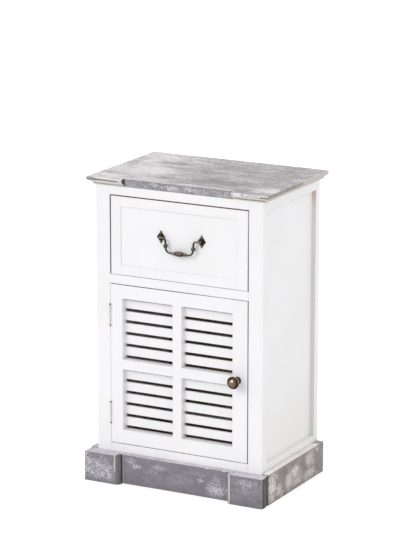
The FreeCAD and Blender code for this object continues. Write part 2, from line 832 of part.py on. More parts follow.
def make_door():
    slats = {}
    for name, foot in bay_feet.items():
        slats[name] = [slat for x0, x1 in bay_sides for slat in bay_slats(x0, x1, foot)]
    housed = slats["lower"] + slats["upper"]
    knob, knob_screw = knob_parts()

    hinge_cuts = [knuckle_room(foot) for foot in hinge_feet]
    hinge_cuts += [leaf_plate(door_leaf_x, foot) for foot in hinge_feet] + door_screws
    stile_left = box(door_left, hinge_stile_inner, front, door_back, door_bottom, door_top)
    stile_left = eased(stile_left, door_edge_round, {"x": door_left, "y": front})
    stile_right = box(free_stile_inner, door_right, front, door_back, door_bottom, door_top)
    stile_right = eased(stile_right, door_edge_round, {"x": door_right, "y": front})
    centre = box(centre_left, centre_right, front, door_back, rail_low_top, rail_high_foot)
    nodes["door_stile_left"] = stile_left.cut(hinge_cuts + housed)
    nodes["door_stile_right"] = stile_right.cut(housed + [knob_screw])
    nodes["door_centre_stile"] = centre.cut(housed)

    rail_top = box(hinge_stile_inner, free_stile_inner, front, door_back, rail_high_foot, door_top)
    nodes["door_top_rail"] = eased(rail_top, door_edge_round, {"y": front, "z": door_top})
    rail_bottom = box(hinge_stile_inner, free_stile_inner, front, door_back, door_bottom, rail_low_top)
    nodes["door_bottom_rail"] = eased(rail_bottom, door_edge_round, {"y": front, "z": door_bottom})
    for name, (x0, x1) in zip(("left", "right"), bay_sides):
        nodes["door_middle_rail_" + name] = box(x0, x1, front, door_back, middle_rail_foot, middle_rail_top)
    for name, row in slats.items():
        nodes["door_slats_" + name] = Part.makeCompound(row)
    nodes["door_knob"] = knob
    nodes["door_knob_screw"] = knob_screw


def make_catch():
    """A magnet block that holds the door shut, behind the door's top rail on the knob side."""
    middle = opening_side - catch_inset - catch_width / 2
    plate_back = door_back + catch_plate_thickness
    body_front = plate_back + catch_gap
    body_foot = door_opening_top - catch_height
    body = box(
        middle - catch_width / 2, middle + catch_width / 2, body_front, body_front + catch_depth,
        body_foot, door_opening_top,
    )
    lower_edges = [{"y": y, "z": body_foot} for y in (body_front, body_front + catch_depth)]
    nodes["magnetic_catch"] = eased(body, catch_edge_round, *lower_edges)
    plate_middle = body_foot + catch_height / 2
    nodes["catch_plate"] = box(
        middle - catch_plate_width / 2, middle + catch_plate_width / 2, door_back, plate_back,
        plate_middle - catch_plate_height / 2, plate_middle + catch_plate_height / 2,
    )


make_posts()
make_front_rails()
make_sides_and_back()
make_drawer_runners()
make_plinth()
make_top()
make_hinges()
make_drawer()
make_door()
make_catch()

os.makedirs("parts", exist_ok=True)
for name, shape in nodes.items():
    shape.exportStep("parts/" + name + ".step")
    print(name, len(shape.Solids), round(shape.Volume), shape.isValid())
print(len(nodes), "nodes")
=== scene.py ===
# Small painted cabinet: white carcass, grey-washed top and plinth, antique brass hardware
import bpy
import json
import math
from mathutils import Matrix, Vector
from types import SimpleNamespace


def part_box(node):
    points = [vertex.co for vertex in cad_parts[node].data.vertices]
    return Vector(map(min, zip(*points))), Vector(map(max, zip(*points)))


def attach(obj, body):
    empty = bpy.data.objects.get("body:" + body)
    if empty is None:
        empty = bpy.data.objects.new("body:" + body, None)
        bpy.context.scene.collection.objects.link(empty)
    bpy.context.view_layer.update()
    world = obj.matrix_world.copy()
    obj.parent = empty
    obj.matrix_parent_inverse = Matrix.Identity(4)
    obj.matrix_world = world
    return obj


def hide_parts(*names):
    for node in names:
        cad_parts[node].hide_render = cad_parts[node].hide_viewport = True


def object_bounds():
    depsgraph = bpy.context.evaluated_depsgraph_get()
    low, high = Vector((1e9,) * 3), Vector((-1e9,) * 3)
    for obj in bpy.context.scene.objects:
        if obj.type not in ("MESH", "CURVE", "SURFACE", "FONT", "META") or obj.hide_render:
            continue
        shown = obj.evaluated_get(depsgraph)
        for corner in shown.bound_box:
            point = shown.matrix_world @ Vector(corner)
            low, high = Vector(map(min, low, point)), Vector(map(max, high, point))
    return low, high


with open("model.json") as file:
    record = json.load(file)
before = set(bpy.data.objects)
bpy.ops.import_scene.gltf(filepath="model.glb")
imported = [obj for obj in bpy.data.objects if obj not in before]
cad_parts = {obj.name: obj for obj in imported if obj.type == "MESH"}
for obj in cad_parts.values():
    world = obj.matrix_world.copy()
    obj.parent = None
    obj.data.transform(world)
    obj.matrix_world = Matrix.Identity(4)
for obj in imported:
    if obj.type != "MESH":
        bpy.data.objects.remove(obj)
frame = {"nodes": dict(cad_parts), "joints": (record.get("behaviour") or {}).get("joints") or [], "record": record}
cadLow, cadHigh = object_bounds()
nodes = frame["nodes"]
print("frame:", len(nodes), "nodes")

upward = (0, 0, 1)
backward = (0, 1, 0)
rightward = (1, 0, 0)
forward = (0, -1, 0)
outward = Vector(forward)
beyond = 0.01  # how far a limit lies outside a piece to have no effect


def rgb(*levels):
    # display colour 0-255 to the linear colour that sockets take
    shares = [level / 255 for level in levels]
    linear = [s / 12.92 if s <= 0.04045 else ((s + 0.055) / 1.055) ** 2.4 for s in shares]
    return (*linear, 1.0)


# Node helpers

at = SimpleNamespace()  # the material or group being built, with the coordinates on its surface


def feed(socket, value):
    if isinstance(value, bpy.types.NodeSocket):
        at.tree.links.new(value, socket)
    else:
        socket.default_value = value


def addNode(kind, inputs=None, **settings):
    node = at.tree.nodes.new(kind)
    for name, value in settings.items():
        setattr(node, name, value)
    for key, value in (inputs or {}).items():
        feed(node.inputs[key], value)
    return node


def calc(operation, *values):
    node = addNode("ShaderNodeMath", dict(enumerate(values)), operation=operation)
    return node.outputs[0]


def vectorCalc(operation, *values):
    node = addNode("ShaderNodeVectorMath", dict(enumerate(values)), operation=operation)
    return node.outputs["Value" if operation in ("DOT_PRODUCT", "LENGTH") else "Vector"]


def times(*values):
    result = values[0]
    for value in values[1:]:
        result = calc("MULTIPLY", result, value)
    return result


def split(vector):
    return addNode("ShaderNodeSeparateXYZ", {0: vector}).outputs


def ramp(value, start, end, low=0.0, high=1.0):
    # smooth step from low at start to high at end
    inputs = {"Value": value, "From Min": start, "From Max": end, "To Min": low, "To Max": high}
    return addNode("ShaderNodeMapRange", inputs, interpolation_type="SMOOTHSTEP").outputs["Result"]


def between(mask, low, high):
    # low where the mask is 0, high where it is 1
    return ramp(mask, 0.0, 1.0, low, high)


def over(color, tone, *masks):
    # the tone laid over the colour, as far as all the masks let it
    inputs = {0: times(*masks), 6: color, 7: tone}  # factor and the two colours of a mix node
    return addNode("ShaderNodeMix", inputs, data_type="RGBA").outputs[2]


def noise(vector, scale, detail, roughness):
    inputs = {"Vector": vector, "Scale": scale, "Detail": detail, "Roughness": roughness}
    return addNode("ShaderNodeTexNoise", inputs).outputs["Fac"]


def newGroup(name, outputs=("Mask",), **inputs):
    # the inputs are named here with the values that they have when nothing is given
    tree = bpy.data.node_groups.new(name, "ShaderNodeTree")
    at.tree = tree
    for label, value in inputs.items():
        kind = "NodeSocketVector" if isinstance(value, tuple) else "NodeSocketFloat"
        socket = tree.interface.new_socket(label, in_out="INPUT", socket_type=kind)
        socket.default_value = value
    for label in outputs:
        tree.interface.new_socket(label, in_out="OUTPUT", socket_type="NodeSocketFloat")
    return tree, tree.nodes.new("NodeGroupInput").outputs, tree.nodes.new("NodeGroupOutput").inputs


def useGroup(group, **inputs):
    return addNode("ShaderNodeGroup", inputs, node_tree=group).outputs


# Effects that several finishes share: a noise is (detail, roughness), a limit is (start, end)
effects = dict(
    edgeNoise=(5.0, 0.65), scuffNoise=(6.0, 0.7), patchNoise=(7.0, 0.62), fibreNoise=(6.0, 0.6),
    slowNoise=(3.0, 0.5), slowShare=0.22, facing=(0.55, 0.85), scuffRim=(1.1, 0.25),
)


def ragged(given, value, noiseName):
    # the value, moved up and down by noise
    cloud = noise(given["Vector"], given["Scale"], *effects[noiseName])
    return calc("MULTIPLY_ADD", calc("SUBTRACT", cloud, 0.5), given["Ragged"], value)


def makeEdgeWear():
    # 1 where two faces of the piece's box meet, ragged by noise
    tree, given, result = newGroup(
        "edgeWear", Vector=(0, 0, 0), Low=(0, 0, 0), High=(1, 1, 1), Reach=0.002, Ragged=0.004, Scale=60.0,
    )
    fromLow = vectorCalc("SUBTRACT", given["Vector"], given["Low"])
    fromHigh = vectorCalc("SUBTRACT", given["High"], given["Vector"])
    x, y, z = split(vectorCalc("MINIMUM", fromLow, fromHigh))
    most = calc("MAXIMUM", calc("MAXIMUM", x, y), z)
    least = calc("MINIMUM", calc("MINIMUM", x, y), z)
    total = calc("ADD", calc("ADD", x, y), z)
    middle = calc("SUBTRACT", calc("SUBTRACT", total, most), least)
    edge = ragged(given, middle, "edgeNoise")
    feed(result["Mask"], ramp(edge, given["Reach"], 0.0))
    return tree


def makeMottle():
    # patches of one coat over another, stretched along the brush
    tree, given, result = newGroup(
        "mottle", Vector=(0, 0, 0), Stretch=(1, 1, 1), Scale=20.0, Start=0.45, End=0.6, Seed=0.0,
    )
    stretched = vectorCalc("MULTIPLY", given["Vector"], given["Stretch"])
    moved = vectorCalc("ADD", stretched, given["Seed"])
    cloud = noise(moved, given["Scale"], *effects["patchNoise"])
    feed(result["Mask"], ramp(cloud, given["Start"], given["End"]))
    return tree


def makeGrain():
    # long fibres with slower bands in between
    tree, given, result = newGroup(
        "grain", ("Fibre", "Band"), Vector=(0, 0, 0), Stretch=(1, 1, 1), Scale=40.0,
    )
    stretched = vectorCalc("MULTIPLY", given["Vector"], given["Stretch"])
    coarse = calc("MULTIPLY", given["Scale"], effects["slowShare"])
    feed(result["Fibre"], noise(stretched, given["Scale"], *effects["fibreNoise"]))
    feed(result["Band"], noise(stretched, coarse, *effects["slowNoise"]))
    return tree


def makeFacing():
    # 1 on faces that look along the direction
    tree, given, result = newGroup("facing", Normal=upward, Direction=upward)
    along = vectorCalc("DOT_PRODUCT", given["Normal"], given["Direction"])
    feed(result["Mask"], ramp(along, *effects["facing"]))
    return tree


def makeScuff():
    # 1 in the middle of a rubbed patch, fading raggedly towards its rim
    tree, given, result = newGroup(
        "scuff", Vector=(0, 0, 0), Centre=(0, 0, 0), Size=(1, 1, 1), Ragged=1.6, Scale=110.0,
    )
    away = vectorCalc("SUBTRACT", given["Vector"], given["Centre"])
    distance = vectorCalc("LENGTH", vectorCalc("DIVIDE", away, given["Size"]))
    rim = ragged(given, distance, "scuffNoise")
    feed(result["Mask"], ramp(rim, *effects["scuffRim"]))
    return tree


def makeBand():
    # 1 between two limits that are soft and wander a little
    tree, given, result = newGroup(
        "band", Vector=(0, 0, 0), Value=0.0, Low=0.0, High=1.0, Soft=0.0003, Ragged=0.0008, Scale=90.0,
    )
    moved = ragged(given, given["Value"], "edgeNoise")
    fromLow = calc("DIVIDE", calc("SUBTRACT", moved, given["Low"]), given["Soft"])
    fromHigh = calc("DIVIDE", calc("SUBTRACT", given["High"], moved), given["Soft"])
    inside = times(ramp(fromLow, -1.0, 1.0), ramp(fromHigh, -1.0, 1.0))
    feed(result["Mask"], inside)
    return tree


edgeWear = makeEdgeWear()
mottle = makeMottle()
grain = makeGrain()
facing = makeFacing()
scuff = makeScuff()
band = makeBand()
print("effects:", len(bpy.data.node_groups), "node groups")


# The effects as masks, with the values that a finish gives them

def edgeWorn(node, values):
    low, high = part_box(node)
    return useGroup(edgeWear, Vector=at.place, Low=low, High=high, **values)["Mask"]


def mottled(values, seed=0.0):
    given = dict(values, Vector=at.place)
    given["Seed"] = values.get("Seed", 0.0) + seed
    return useGroup(mottle, **given)["Mask"]


def grained(node, ratio, scale):
    # fibres run along the longest side of the piece's box
    low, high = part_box(node)
    size = high - low
    longest = max(range(3), key=lambda axis: size[axis])
    stretch = [1.0 if axis == longest else ratio for axis in range(3)]
    fibres = useGroup(grain, Vector=at.place, Stretch=stretch, Scale=scale)
    return fibres["Fibre"], fibres["Band"]


def looking(direction):
    return useGroup(facing, Normal=at.normal, Direction=direction)["Mask"]


def scuffed(centre, size, **rim):
    return useGroup(scuff, Vector=at.place, Centre=centre, Size=size, **rim)["Mask"]


def banded(value, low, high, **rim):
    return useGroup(band, Vector=at.place, Value=value, Low=low, High=high, **rim)["Mask"]


# Finishes: a ramp is (start, end) or (start, end, value at the start, value at the end)

def newMaterial(name):
    at.material = bpy.data.materials.new(name)
    at.material.use_nodes = True
    at.tree = at.material.node_tree
    at.tree.nodes.clear()
    shader = addNode("ShaderNodeBsdfPrincipled")
    addNode("ShaderNodeOutputMaterial", {"Surface": shader.outputs[0]})
    coords = addNode("ShaderNodeTexCoord").outputs
    at.surface = shader.inputs
    at.place = coords["Object"]
    at.normal = coords["Normal"]
    at.x, at.y, at.z = split(at.place)
    at.sideways = calc("ABSOLUTE", split(at.normal)[0])  # 1 on faces that look left or right


def dress(color, rough, metallic=0.0, height=None, depth=0.0):
    # colour, roughness, metal and fine relief of the new material
    for name, value in (("Base Color", color), ("Roughness", rough), ("Metallic", metallic)):
        feed(at.surface[name], value)
    if height is not None:
        relief = addNode("ShaderNodeBump", {"Height": height, "Distance": depth, "Strength": 1.0})
        feed(at.surface["Normal"], relief.outputs["Normal"])
    return at.material


def paint(node, material):
    for slot in nodes[node].material_slots:
        slot.material = material


whitePaint = dict(
    coat=rgb(233, 232, 234), thin=rgb(230, 229, 230), rubbed=rgb(206, 203, 200),
    # warm and its ramps: painted shade, warmer and darker towards the foot on faces that look left or right
    warm=rgb(221, 219, 215), footShadeHeight=(0.3, 0.06, 0.0, 0.55), footShadeFaces=(0.55, 0.85),
    cloud=dict(Scale=7.0, Start=0.35, End=0.7), seedStep=1.7,
    wear=dict(Reach=0.0005, Ragged=0.003, Scale=70.0), wearShare=0.3,
    strokeRatio=14.0, strokeScale=26.0, strokeDepth=0.00008, rough=(0.3, 0.7, 0.4, 0.5),
    pin=rgb(176, 174, 174), pinPlace=(-0.0062, 0.5438), pinSize=0.0009, pinRagged=0.2,
)
# Unpainted top edges: the tone, and the places across between which the paint comes back
drawerBare = (rgb(150, 119, 99), 0.2, 0.3)
# on the door the bare tone fades into white paint to the right: painted lessening of the gap's shade where the gap
# narrows
doorBare = (rgb(128, 100, 82), -0.04, 0.1)
bareFaces = {
    "drawer_front_top_rail": drawerBare, "drawer_front_stile_left": drawerBare,
    "drawer_front_stile_right": drawerBare,
    "door_top_rail": doorBare, "door_stile_left": doorBare, "door_stile_right": doorBare,
}
# Painted shade on faces seen through gaps and in the side recess, with bare worn wood at the top of the rear
# posts: the way they look, the tones at the foot and at the top, the shares of the height between which the tone
# turns, the depth of the fade from the front, and the piece whose height they follow
postGapShade = (rgb(124, 121, 120), rgb(124, 121, 120), 0.0, 1.0, 0.004)
drawerGapShade = (rgb(184, 181, 180), rgb(236, 235, 236), 0.1, 0.95, 0.001)
doorGapShade = (rgb(170, 167, 166), rgb(170, 167, 166), 0.0, 1.0, 0.001)
rearShadeAndBareWood = (rgb(214, 212, 209), rgb(208, 188, 172), 0.9, 0.95, 0.0)
gapShadeFaces = {
    "front_post_left": (rightward, postGapShade, "drawer_front_stile_left"),
    "drawer_front_stile_right": (rightward, drawerGapShade, "drawer_front_stile_right"),
    "door_stile_right": (rightward, doorGapShade, "door_stile_right"),
    "rear_post_left": (forward, rearShadeAndBareWood, "rear_post_left"),
    "rear_post_right": (forward, rearShadeAndBareWood, "rear_post_right"),
}


def paintGapShade(node, color):
    # painted shade on the face that looks into a gap or recess
    direction, (footTone, topTone, start, end, depth), beside = gapShadeFaces[node]
    low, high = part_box(beside)
    tall = high.z - low.z
    masks = [looking(direction), banded(at.z, low.z, high.z)]
    if depth:
        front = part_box(node)[0].y
        masks.append(ramp(at.y, front, front + depth))
    turned = ramp(at.z, low.z + start * tall, low.z + end * tall)
    return over(color, over(footTone, topTone, turned), *masks)


def makeWhitePaint(node, seed):
    newMaterial("whitePaint_" + node)
    v = whitePaint
    fibre, slow = grained(node, v["strokeRatio"], v["strokeScale"])
    color = over(v["coat"], v["thin"], mottled(v["cloud"], seed))
    color = over(color, v["rubbed"], edgeWorn(node, v["wear"]), v["wearShare"])
    sideways = 1.0  # a side's bottom rail gets the painted warm shade on every face
    if not node.startswith("side_bottom_rail"):
        sideways = ramp(at.sideways, *v["footShadeFaces"])
    # painted shade and floor bounce: side faces turn warmer and darker towards the foot
    color = over(color, v["warm"], sideways, ramp(at.z, *v["footShadeHeight"]))
    if node in bareFaces:
        tone, start, end = bareFaces[node]
        color = over(color, tone, looking(upward), ramp(at.x, end, start))
    if node in gapShadeFaces:
        color = paintGapShade(node, color)
    if node == "drawer_front_panel":
        across, up = v["pinPlace"]
        centre = (across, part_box(node)[0].y, up)
        dot = scuffed(centre, (v["pinSize"],) * 3, Ragged=v["pinRagged"])
        color = over(color, v["pin"], dot)
    return dress(color, ramp(slow, *v["rough"]), height=fibre, depth=v["strokeDepth"])


bareWood = dict(
    light=rgb(184, 151, 120), dark=rgb(142, 108, 82), ratio=26.0, scale=13.0,
    fibreShare=0.6, slowShare=0.4, turn=(0.35, 0.65), depth=0.0002, rough=0.75,
)


def makeBareWood(node):
    newMaterial("bareWood_" + node)
    v = bareWood
    fibre, slow = grained(node, v["ratio"], v["scale"])
    shade = calc("MULTIPLY_ADD", fibre, v["fibreShare"], times(slow, v["slowShare"]))
    color = over(v["dark"], v["light"], ramp(shade, *v["turn"]))
    return dress(color, v["rough"], height=fibre, depth=v["depth"])


# Front of the plinth: smooth grey wash, dragged and sponged over with white
plinthWash = dict(
    coat=rgb(121, 116, 124), deep=rgb(106, 101, 109), haze=rgb(208, 206, 214),
    bare=rgb(198, 184, 176), ledge=rgb(203, 201, 208), ledgeShare=0.8,
    tone=dict(Stretch=(1, 1, 1.6), Scale=22.0, Start=0.3, End=0.72),
    veil=dict(Scale=34.0, Start=0.5, End=0.8, Seed=3.1), veilShare=0.12,
    speck=dict(Scale=400.0, Start=0.39, End=0.6, Seed=7.7), speckShare=0.1,
    smudge=dict(Scale=75.0, Start=0.32, End=0.6, Seed=5.0),
    speckCover=(0.12, 1.0), smudgeCover=(0.5, 1.0), foot=(0.016, 0.0, 0.0, 0.5),
    wear=dict(Reach=0.0011, Ragged=0.0034, Scale=90.0), wearShare=0.3,
    through=0.05, chip=dict(Ragged=0.9, Scale=220.0),
    rough=(0.5, 0.75), speckRise=0.3, depth=0.00025,
)
plinthSeeds = {"plinth_front_rail": 1.0, "plinth_block_left": 4.0, "plinth_block_right": 7.0}
# Sponged patches: (x, z, half width, half height, strength)
plinthScuffs = {
    "plinth_front_rail": (
        (0.091, 0.019, 0.027, 0.019, 1.0), (0.0568, 0.0335, 0.009, 0.005, 1.0),
        (0.091, 0.039, 0.014, 0.008, 0.6), (-0.09, 0.0405, 0.016, 0.007, 0.9),
        (-0.104, 0.05, 0.018, 0.01, 0.6), (-0.036, 0.044, 0.022, 0.008, 0.5),
        (-0.055, 0.034, 0.022, 0.009, 0.25), (0.01, 0.026, 0.05, 0.012, 0.16),
        (0.045, 0.046, 0.034, 0.007, 0.14),
    ),
    "plinth_block_left": (
        (-0.168, 0.026, 0.042, 0.032, 1.0), (-0.152, 0.014, 0.024, 0.022, 0.7),
        (-0.194, 0.03, 0.012, 0.04, 1.0), (-0.182, 0.042, 0.02, 0.014, 0.6),
    ),
    "plinth_block_right": (
        (0.166, 0.047, 0.03, 0.01, 0.65), (0.168, 0.034, 0.028, 0.013, 0.25),
        (0.178, 0.022, 0.018, 0.014, 0.1),
    ),
}
# Spots where the wash is knocked off an edge of the rail: (x, z, half width, half height, tone)
railChips = (
    (0.0696, 0.0607, 0.0065, 0.0026, rgb(232, 178, 148)),
    (0.1078, 0.0607, 0.006, 0.0022, rgb(232, 228, 226)), (0.005, 0.0, 0.09, 0.001, rgb(198, 176, 160)),
    (-0.03, 0.0608, 0.09, 0.001, rgb(196, 190, 184)),
)


def makePlinthWash(node, seed):
    newMaterial("greyWash_" + node)
    v = plinthWash
    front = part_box(node)[0].y
    tone = mottled(v["tone"], seed)
    speck = mottled(v["speck"], seed)
    color = over(v["deep"], v["coat"], tone)
    color = over(color, v["haze"], speck, v["speckShare"])
    hazed = times(mottled(v["veil"], seed), v["veilShare"])
    for across, up, width, height, strength in plinthScuffs[node]:
        patch = scuffed((across, front, up), (width, v["through"], height))
        hazed = calc("MAXIMUM", hazed, times(patch, strength))
    smudge = mottled(v["smudge"], seed)
    grainy = times(hazed, between(speck, *v["speckCover"]), between(smudge, *v["smudgeCover"]))
    color = over(color, v["haze"], grainy)
    color = over(color, v["deep"], ramp(at.z, *v["foot"]))
    color = over(color, v["bare"], edgeWorn(node, v["wear"]), v["wearShare"])
    if node == "plinth_front_rail":
        for across, up, width, height, chip in railChips:
            gone = scuffed((across, front, up), (width, v["through"], height), **v["chip"])
            color = over(color, chip, gone)
    ledge = over(v["ledge"], v["coat"], tone, speck, v["ledgeShare"])
    color = over(color, ledge, looking(upward))
    if node == "plinth_block_left":
        color = leftBlockEnd(color, speck)
    elif node == "plinth_block_right":
        color = rightBlockEnd(color, speck)
    else:
        color = railEnd(color)
    color = sawnEnds(color)
    relief = calc("ADD", times(speck, v["speckRise"]), grainy)
    return dress(color, between(grainy, *v["rough"]), height=relief, depth=v["depth"])


# End grain on the outer ends of the front boards, by the distance behind their front
sawnEnd = dict(
    light=rgb(90, 83, 78), dark=rgb(52, 47, 44), edge=rgb(128, 122, 120), inset=0.003, facing=0.7,
    rings=dict(Stretch=(1, 5, 1), Scale=60.0, Start=0.38, End=0.62, Seed=2.0),
    groove=(0.003, 0.0072), grooveRim=dict(Soft=0.0008, Ragged=0.003),
    arris=(0.0036, 0.0015), arrisShare=(0.4, 0.9),
)


def sawnEnds(color):
    v = sawnEnd
    low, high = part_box("plinth_block_right")
    behind = calc("SUBTRACT", at.y, low.y)
    ends = calc("GREATER_THAN", at.sideways, v["facing"])
    far = calc("GREATER_THAN", calc("ABSOLUTE", at.x), high.x - v["inset"])
    rings = mottled(v["rings"])
    sawn = over(v["dark"], v["light"], rings)
    sawn = over(sawn, v["dark"], banded(behind, *v["groove"], **v["grooveRim"]))
    arris = ramp(behind, *v["arris"])
    sawn = over(sawn, v["edge"], arris, between(rings, *v["arrisShare"]))
    return over(color, sawn, ends, far)


# Inner ends of the front blocks, where their rounds are rubbed, and the rail beside them
blockEdge = dict(
    round=0.009, turn=0.001, olive=rgb(84, 81, 82), oliveLight=rgb(132, 128, 130), oliveSpeck=0.7,
    root=rgb(54, 52, 52), rootHalf=0.002,
    rosy=rgb(208, 198, 197), rosyHeight=(0.022, 0.036), rosySpeck=(0.55, 1.0),
    rosyBefore=0.0022, rosyAfter=0.001, rosyRim=dict(Soft=0.0006, Ragged=0.003, Scale=120.0),
    pale=rgb(192, 185, 184), tan=rgb(188, 166, 152), tanHeight=(0.016, 0.004), paleSpeck=0.25,
    paleInset=0.0004, paleRim=dict(Soft=0.0006, Ragged=0.0016, Scale=120.0),
    shadowWidth=0.0016, shadowRim=dict(Soft=0.0005, Ragged=0.0012), shadowShare=0.4,
    line=rgb(172, 169, 174), lineWidth=0.0036, lineRim=dict(Soft=0.001, Ragged=0.0014), lineShare=0.85,
)


def leftBlockEnd(color, speck):
    # olive round with a dark root of painted shade and dirt by the rail, and a rosy rubbed line where it starts
    v = blockEdge
    low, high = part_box("plinth_block_left")
    start = high.x - v["round"]
    root = low.y + v["round"]
    olive = over(v["olive"], v["oliveLight"], speck, v["oliveSpeck"])
    olive = over(olive, v["root"], ramp(at.y, root - v["rootHalf"], root + v["rootHalf"]))
    color = over(color, olive, ramp(at.x, start, start + v["turn"]))
    rubbed = banded(at.x, start - v["rosyBefore"], start + v["rosyAfter"], **v["rosyRim"])
    rosy = over(v["oliveLight"], v["rosy"], ramp(at.z, *v["rosyHeight"]))
    return over(color, rosy, rubbed, between(speck, *v["rosySpeck"]))


def rightBlockEnd(color, speck):
    # round rubbed pale, tan at its foot, with a shadow line beside it
    v = blockEdge
    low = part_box("plinth_block_right")[0]
    end = low.x + v["round"]
    shadow = banded(at.x, end, end + v["shadowWidth"], **v["shadowRim"])
    color = over(color, sawnEnd["dark"], shadow, v["shadowShare"])
    pale = over(v["pale"], v["tan"], ramp(at.z, *v["tanHeight"]))
    pale = over(pale, plinthWash["coat"], speck, v["paleSpeck"])
    return over(color, pale, banded(at.x, low.x - beyond, end - v["paleInset"], **v["paleRim"]))


def railEnd(color):
    # light line where the rail meets the left block
    v = blockEdge
    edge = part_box("plinth_block_left")[1].x
    line = banded(at.x, edge, edge + v["lineWidth"], **v["lineRim"])
    return over(color, v["line"], line, v["lineShare"])


# Side boards: brownish grey with pale wash sponged on
sideWash = dict(
    coat=rgb(120, 112, 111), pale=rgb(228, 220, 217), deep=rgb(92, 85, 84),
    patch=dict(Scale=46.0, Start=0.48, End=0.62), patchShare=0.5,
    speck=dict(Scale=340.0, Start=0.4, End=0.56, Seed=4.0), speckShare=0.12, speckCover=(0.4, 1.0),
    pit=dict(Stretch=(1.0, 1.6, 0.55), Scale=150.0, Start=0.38, End=0.52, Seed=6.0),
    pitCover=(0.35, 1.0), cloud=dict(Scale=30.0, Start=0.5, End=0.7, Seed=9.0),
    through=0.3, spot=dict(Ragged=2.3, Scale=130.0), rearCover=(0.1, 0.112, 1.0, 0.4),
    foot=rgb(84, 79, 75), footHeight=0.002, footRim=dict(Soft=0.0008, Ragged=0.0015), footShare=0.6,
    wear=dict(Reach=0.0012, Ragged=0.003, Scale=90.0), wearShare=0.4,
    ledge=rgb(231, 227, 226), ledgeLeft=rgb(192, 190, 195), ledgePatch=0.15,
    ledgeRear=(0.108, 0.114, 0.0, 0.75), line=rgb(128, 122, 118), lineWidth=0.0018,
    lineRim=dict(Soft=0.0005, Ragged=0.0016), lineShare=0.6,
)
sideSeeds = {"plinth_side_rail_left": 2.0, "plinth_side_rail_right": 5.0}
# Patches with more and with less of the pale wash: (y, z, half length, half height, strength)
sidePale = (
    (-0.1, 0.034, 0.022, 0.034, 1.0), (-0.069, 0.02, 0.016, 0.014, 0.8),
    (-0.026, 0.026, 0.024, 0.024, 0.8), (0.002, 0.036, 0.028, 0.016, 0.9),
    (0.01, 0.014, 0.034, 0.011, 0.6), (0.067, 0.044, 0.024, 0.02, 0.75), (0.069, 0.014, 0.034, 0.013, 0.7),
    (0.103, 0.055, 0.006, 0.006, 0.9),
)
sideDeep = (
    (-0.051, 0.036, 0.011, 0.03, 0.9), (0.045, 0.031, 0.014, 0.009, 0.95),
    (-0.011, 0.059, 0.045, 0.006, 0.8), (-0.064, 0.054, 0.014, 0.01, 0.7),
    (0.006, 0.003, 0.014, 0.005, 0.5),
)


def makeSideWash(node, seed):
    newMaterial("greyWash_" + node)
    low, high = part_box(node)
    v = sideWash
    patch = mottled(v["patch"], seed)
    speck = mottled(v["speck"], seed)
    pit = mottled(v["pit"], seed)
    cover = times(patch, v["patchShare"])
    for places, operation in ((sidePale, "MAXIMUM"), (sideDeep, "SUBTRACT")):
        for along, up, length, height, strength in places:
            spot = scuffed((high.x, along, up), (v["through"], length, height), **v["spot"])
            cover = calc(operation, cover, times(spot, strength))
    cover = times(calc("MAXIMUM", cover, 0.0), ramp(at.y, *v["rearCover"]))
    cover = times(cover, between(speck, *v["speckCover"]), between(pit, *v["pitCover"]))
    color = over(v["coat"], v["deep"], mottled(v["cloud"], seed))
    color = over(color, v["pale"], speck, v["speckShare"])
    color = over(color, v["pale"], cover)
    foot = banded(at.z, low.z - beyond, v["footHeight"], **v["footRim"])
    color = over(color, v["foot"], foot, v["footShare"])
    color = over(color, plinthWash["bare"], edgeWorn(node, v["wear"]), v["wearShare"])
    ledge = over(v["ledgeLeft"] if low.x < 0 else v["ledge"], v["coat"], patch, v["ledgePatch"])
    # painted shade: a dark line in the crease along the back of the ledge
    inner = min(abs(low.x), abs(high.x))
    fromMiddle = calc("ABSOLUTE", at.x)
    line = banded(fromMiddle, inner - beyond, inner + v["lineWidth"], **v["lineRim"])
    ledge = over(ledge, v["line"], line, v["lineShare"])
    ledge = over(ledge, v["coat"], ramp(at.y, *v["ledgeRear"]))
    color = over(color, ledge, looking(upward))
    return dress(color, between(cover, *plinthWash["rough"]), height=cover, depth=plinthWash["depth"])


# Top: pale wash brushed from left to right over grey, thinner to the right
# Blotches, streaks and specks are (stretch, scale, share of the cover)
topWash = dict(
    pale=rgb(222, 218, 220), grey=rgb(146, 141, 143), warm=rgb(206, 198, 195), warmShare=0.2,
    cover=(-0.15, 0.0, 0.71, 0.32), bristle=(5.0, 0.6), blotch=((1.0, 2.2, 2.2), 13.0, 1.0),
    streak=((1.0, 5.0, 5.0), 28.0, 1.3), speck=((1.0, 2.2, 2.2), 140.0, 1.75),
    through=0.3, patch=dict(Ragged=2.0, Scale=36.0),
    blush=dict(Stretch=(1, 3, 3), Scale=14.0, Start=0.5, End=0.75, Seed=5.0),
    leftLine=(0.005, 0.003, 0.0, 0.6), rough=0.6, depth=0.00015,
)
# Places where the brush left more or less, one of them partly painted shade: (x, y, half width, half depth,
# change)
topPatches = (
    (-0.105, -0.018, 0.055, 0.04, 0.28), (0.184, -0.086, 0.042, 0.03, 0.55),
    (-0.145, 0.112, 0.05, 0.014, 0.25), (-0.165, -0.096, 0.036, 0.016, 0.3),
    (-0.05, -0.074, 0.052, 0.015, -0.3), (-0.095, 0.056, 0.064, 0.016, -0.3),
    # the darker patch at x 0.06 is partly thinner wash and partly painted shade
    (-0.166, -0.07, 0.036, 0.012, -0.3), (0.06, -0.062, 0.074, 0.028, -0.28),
    (-0.185, 0.05, 0.02, 0.05, -0.2), (0.045, -0.108, 0.08, 0.01, 0.3),
)


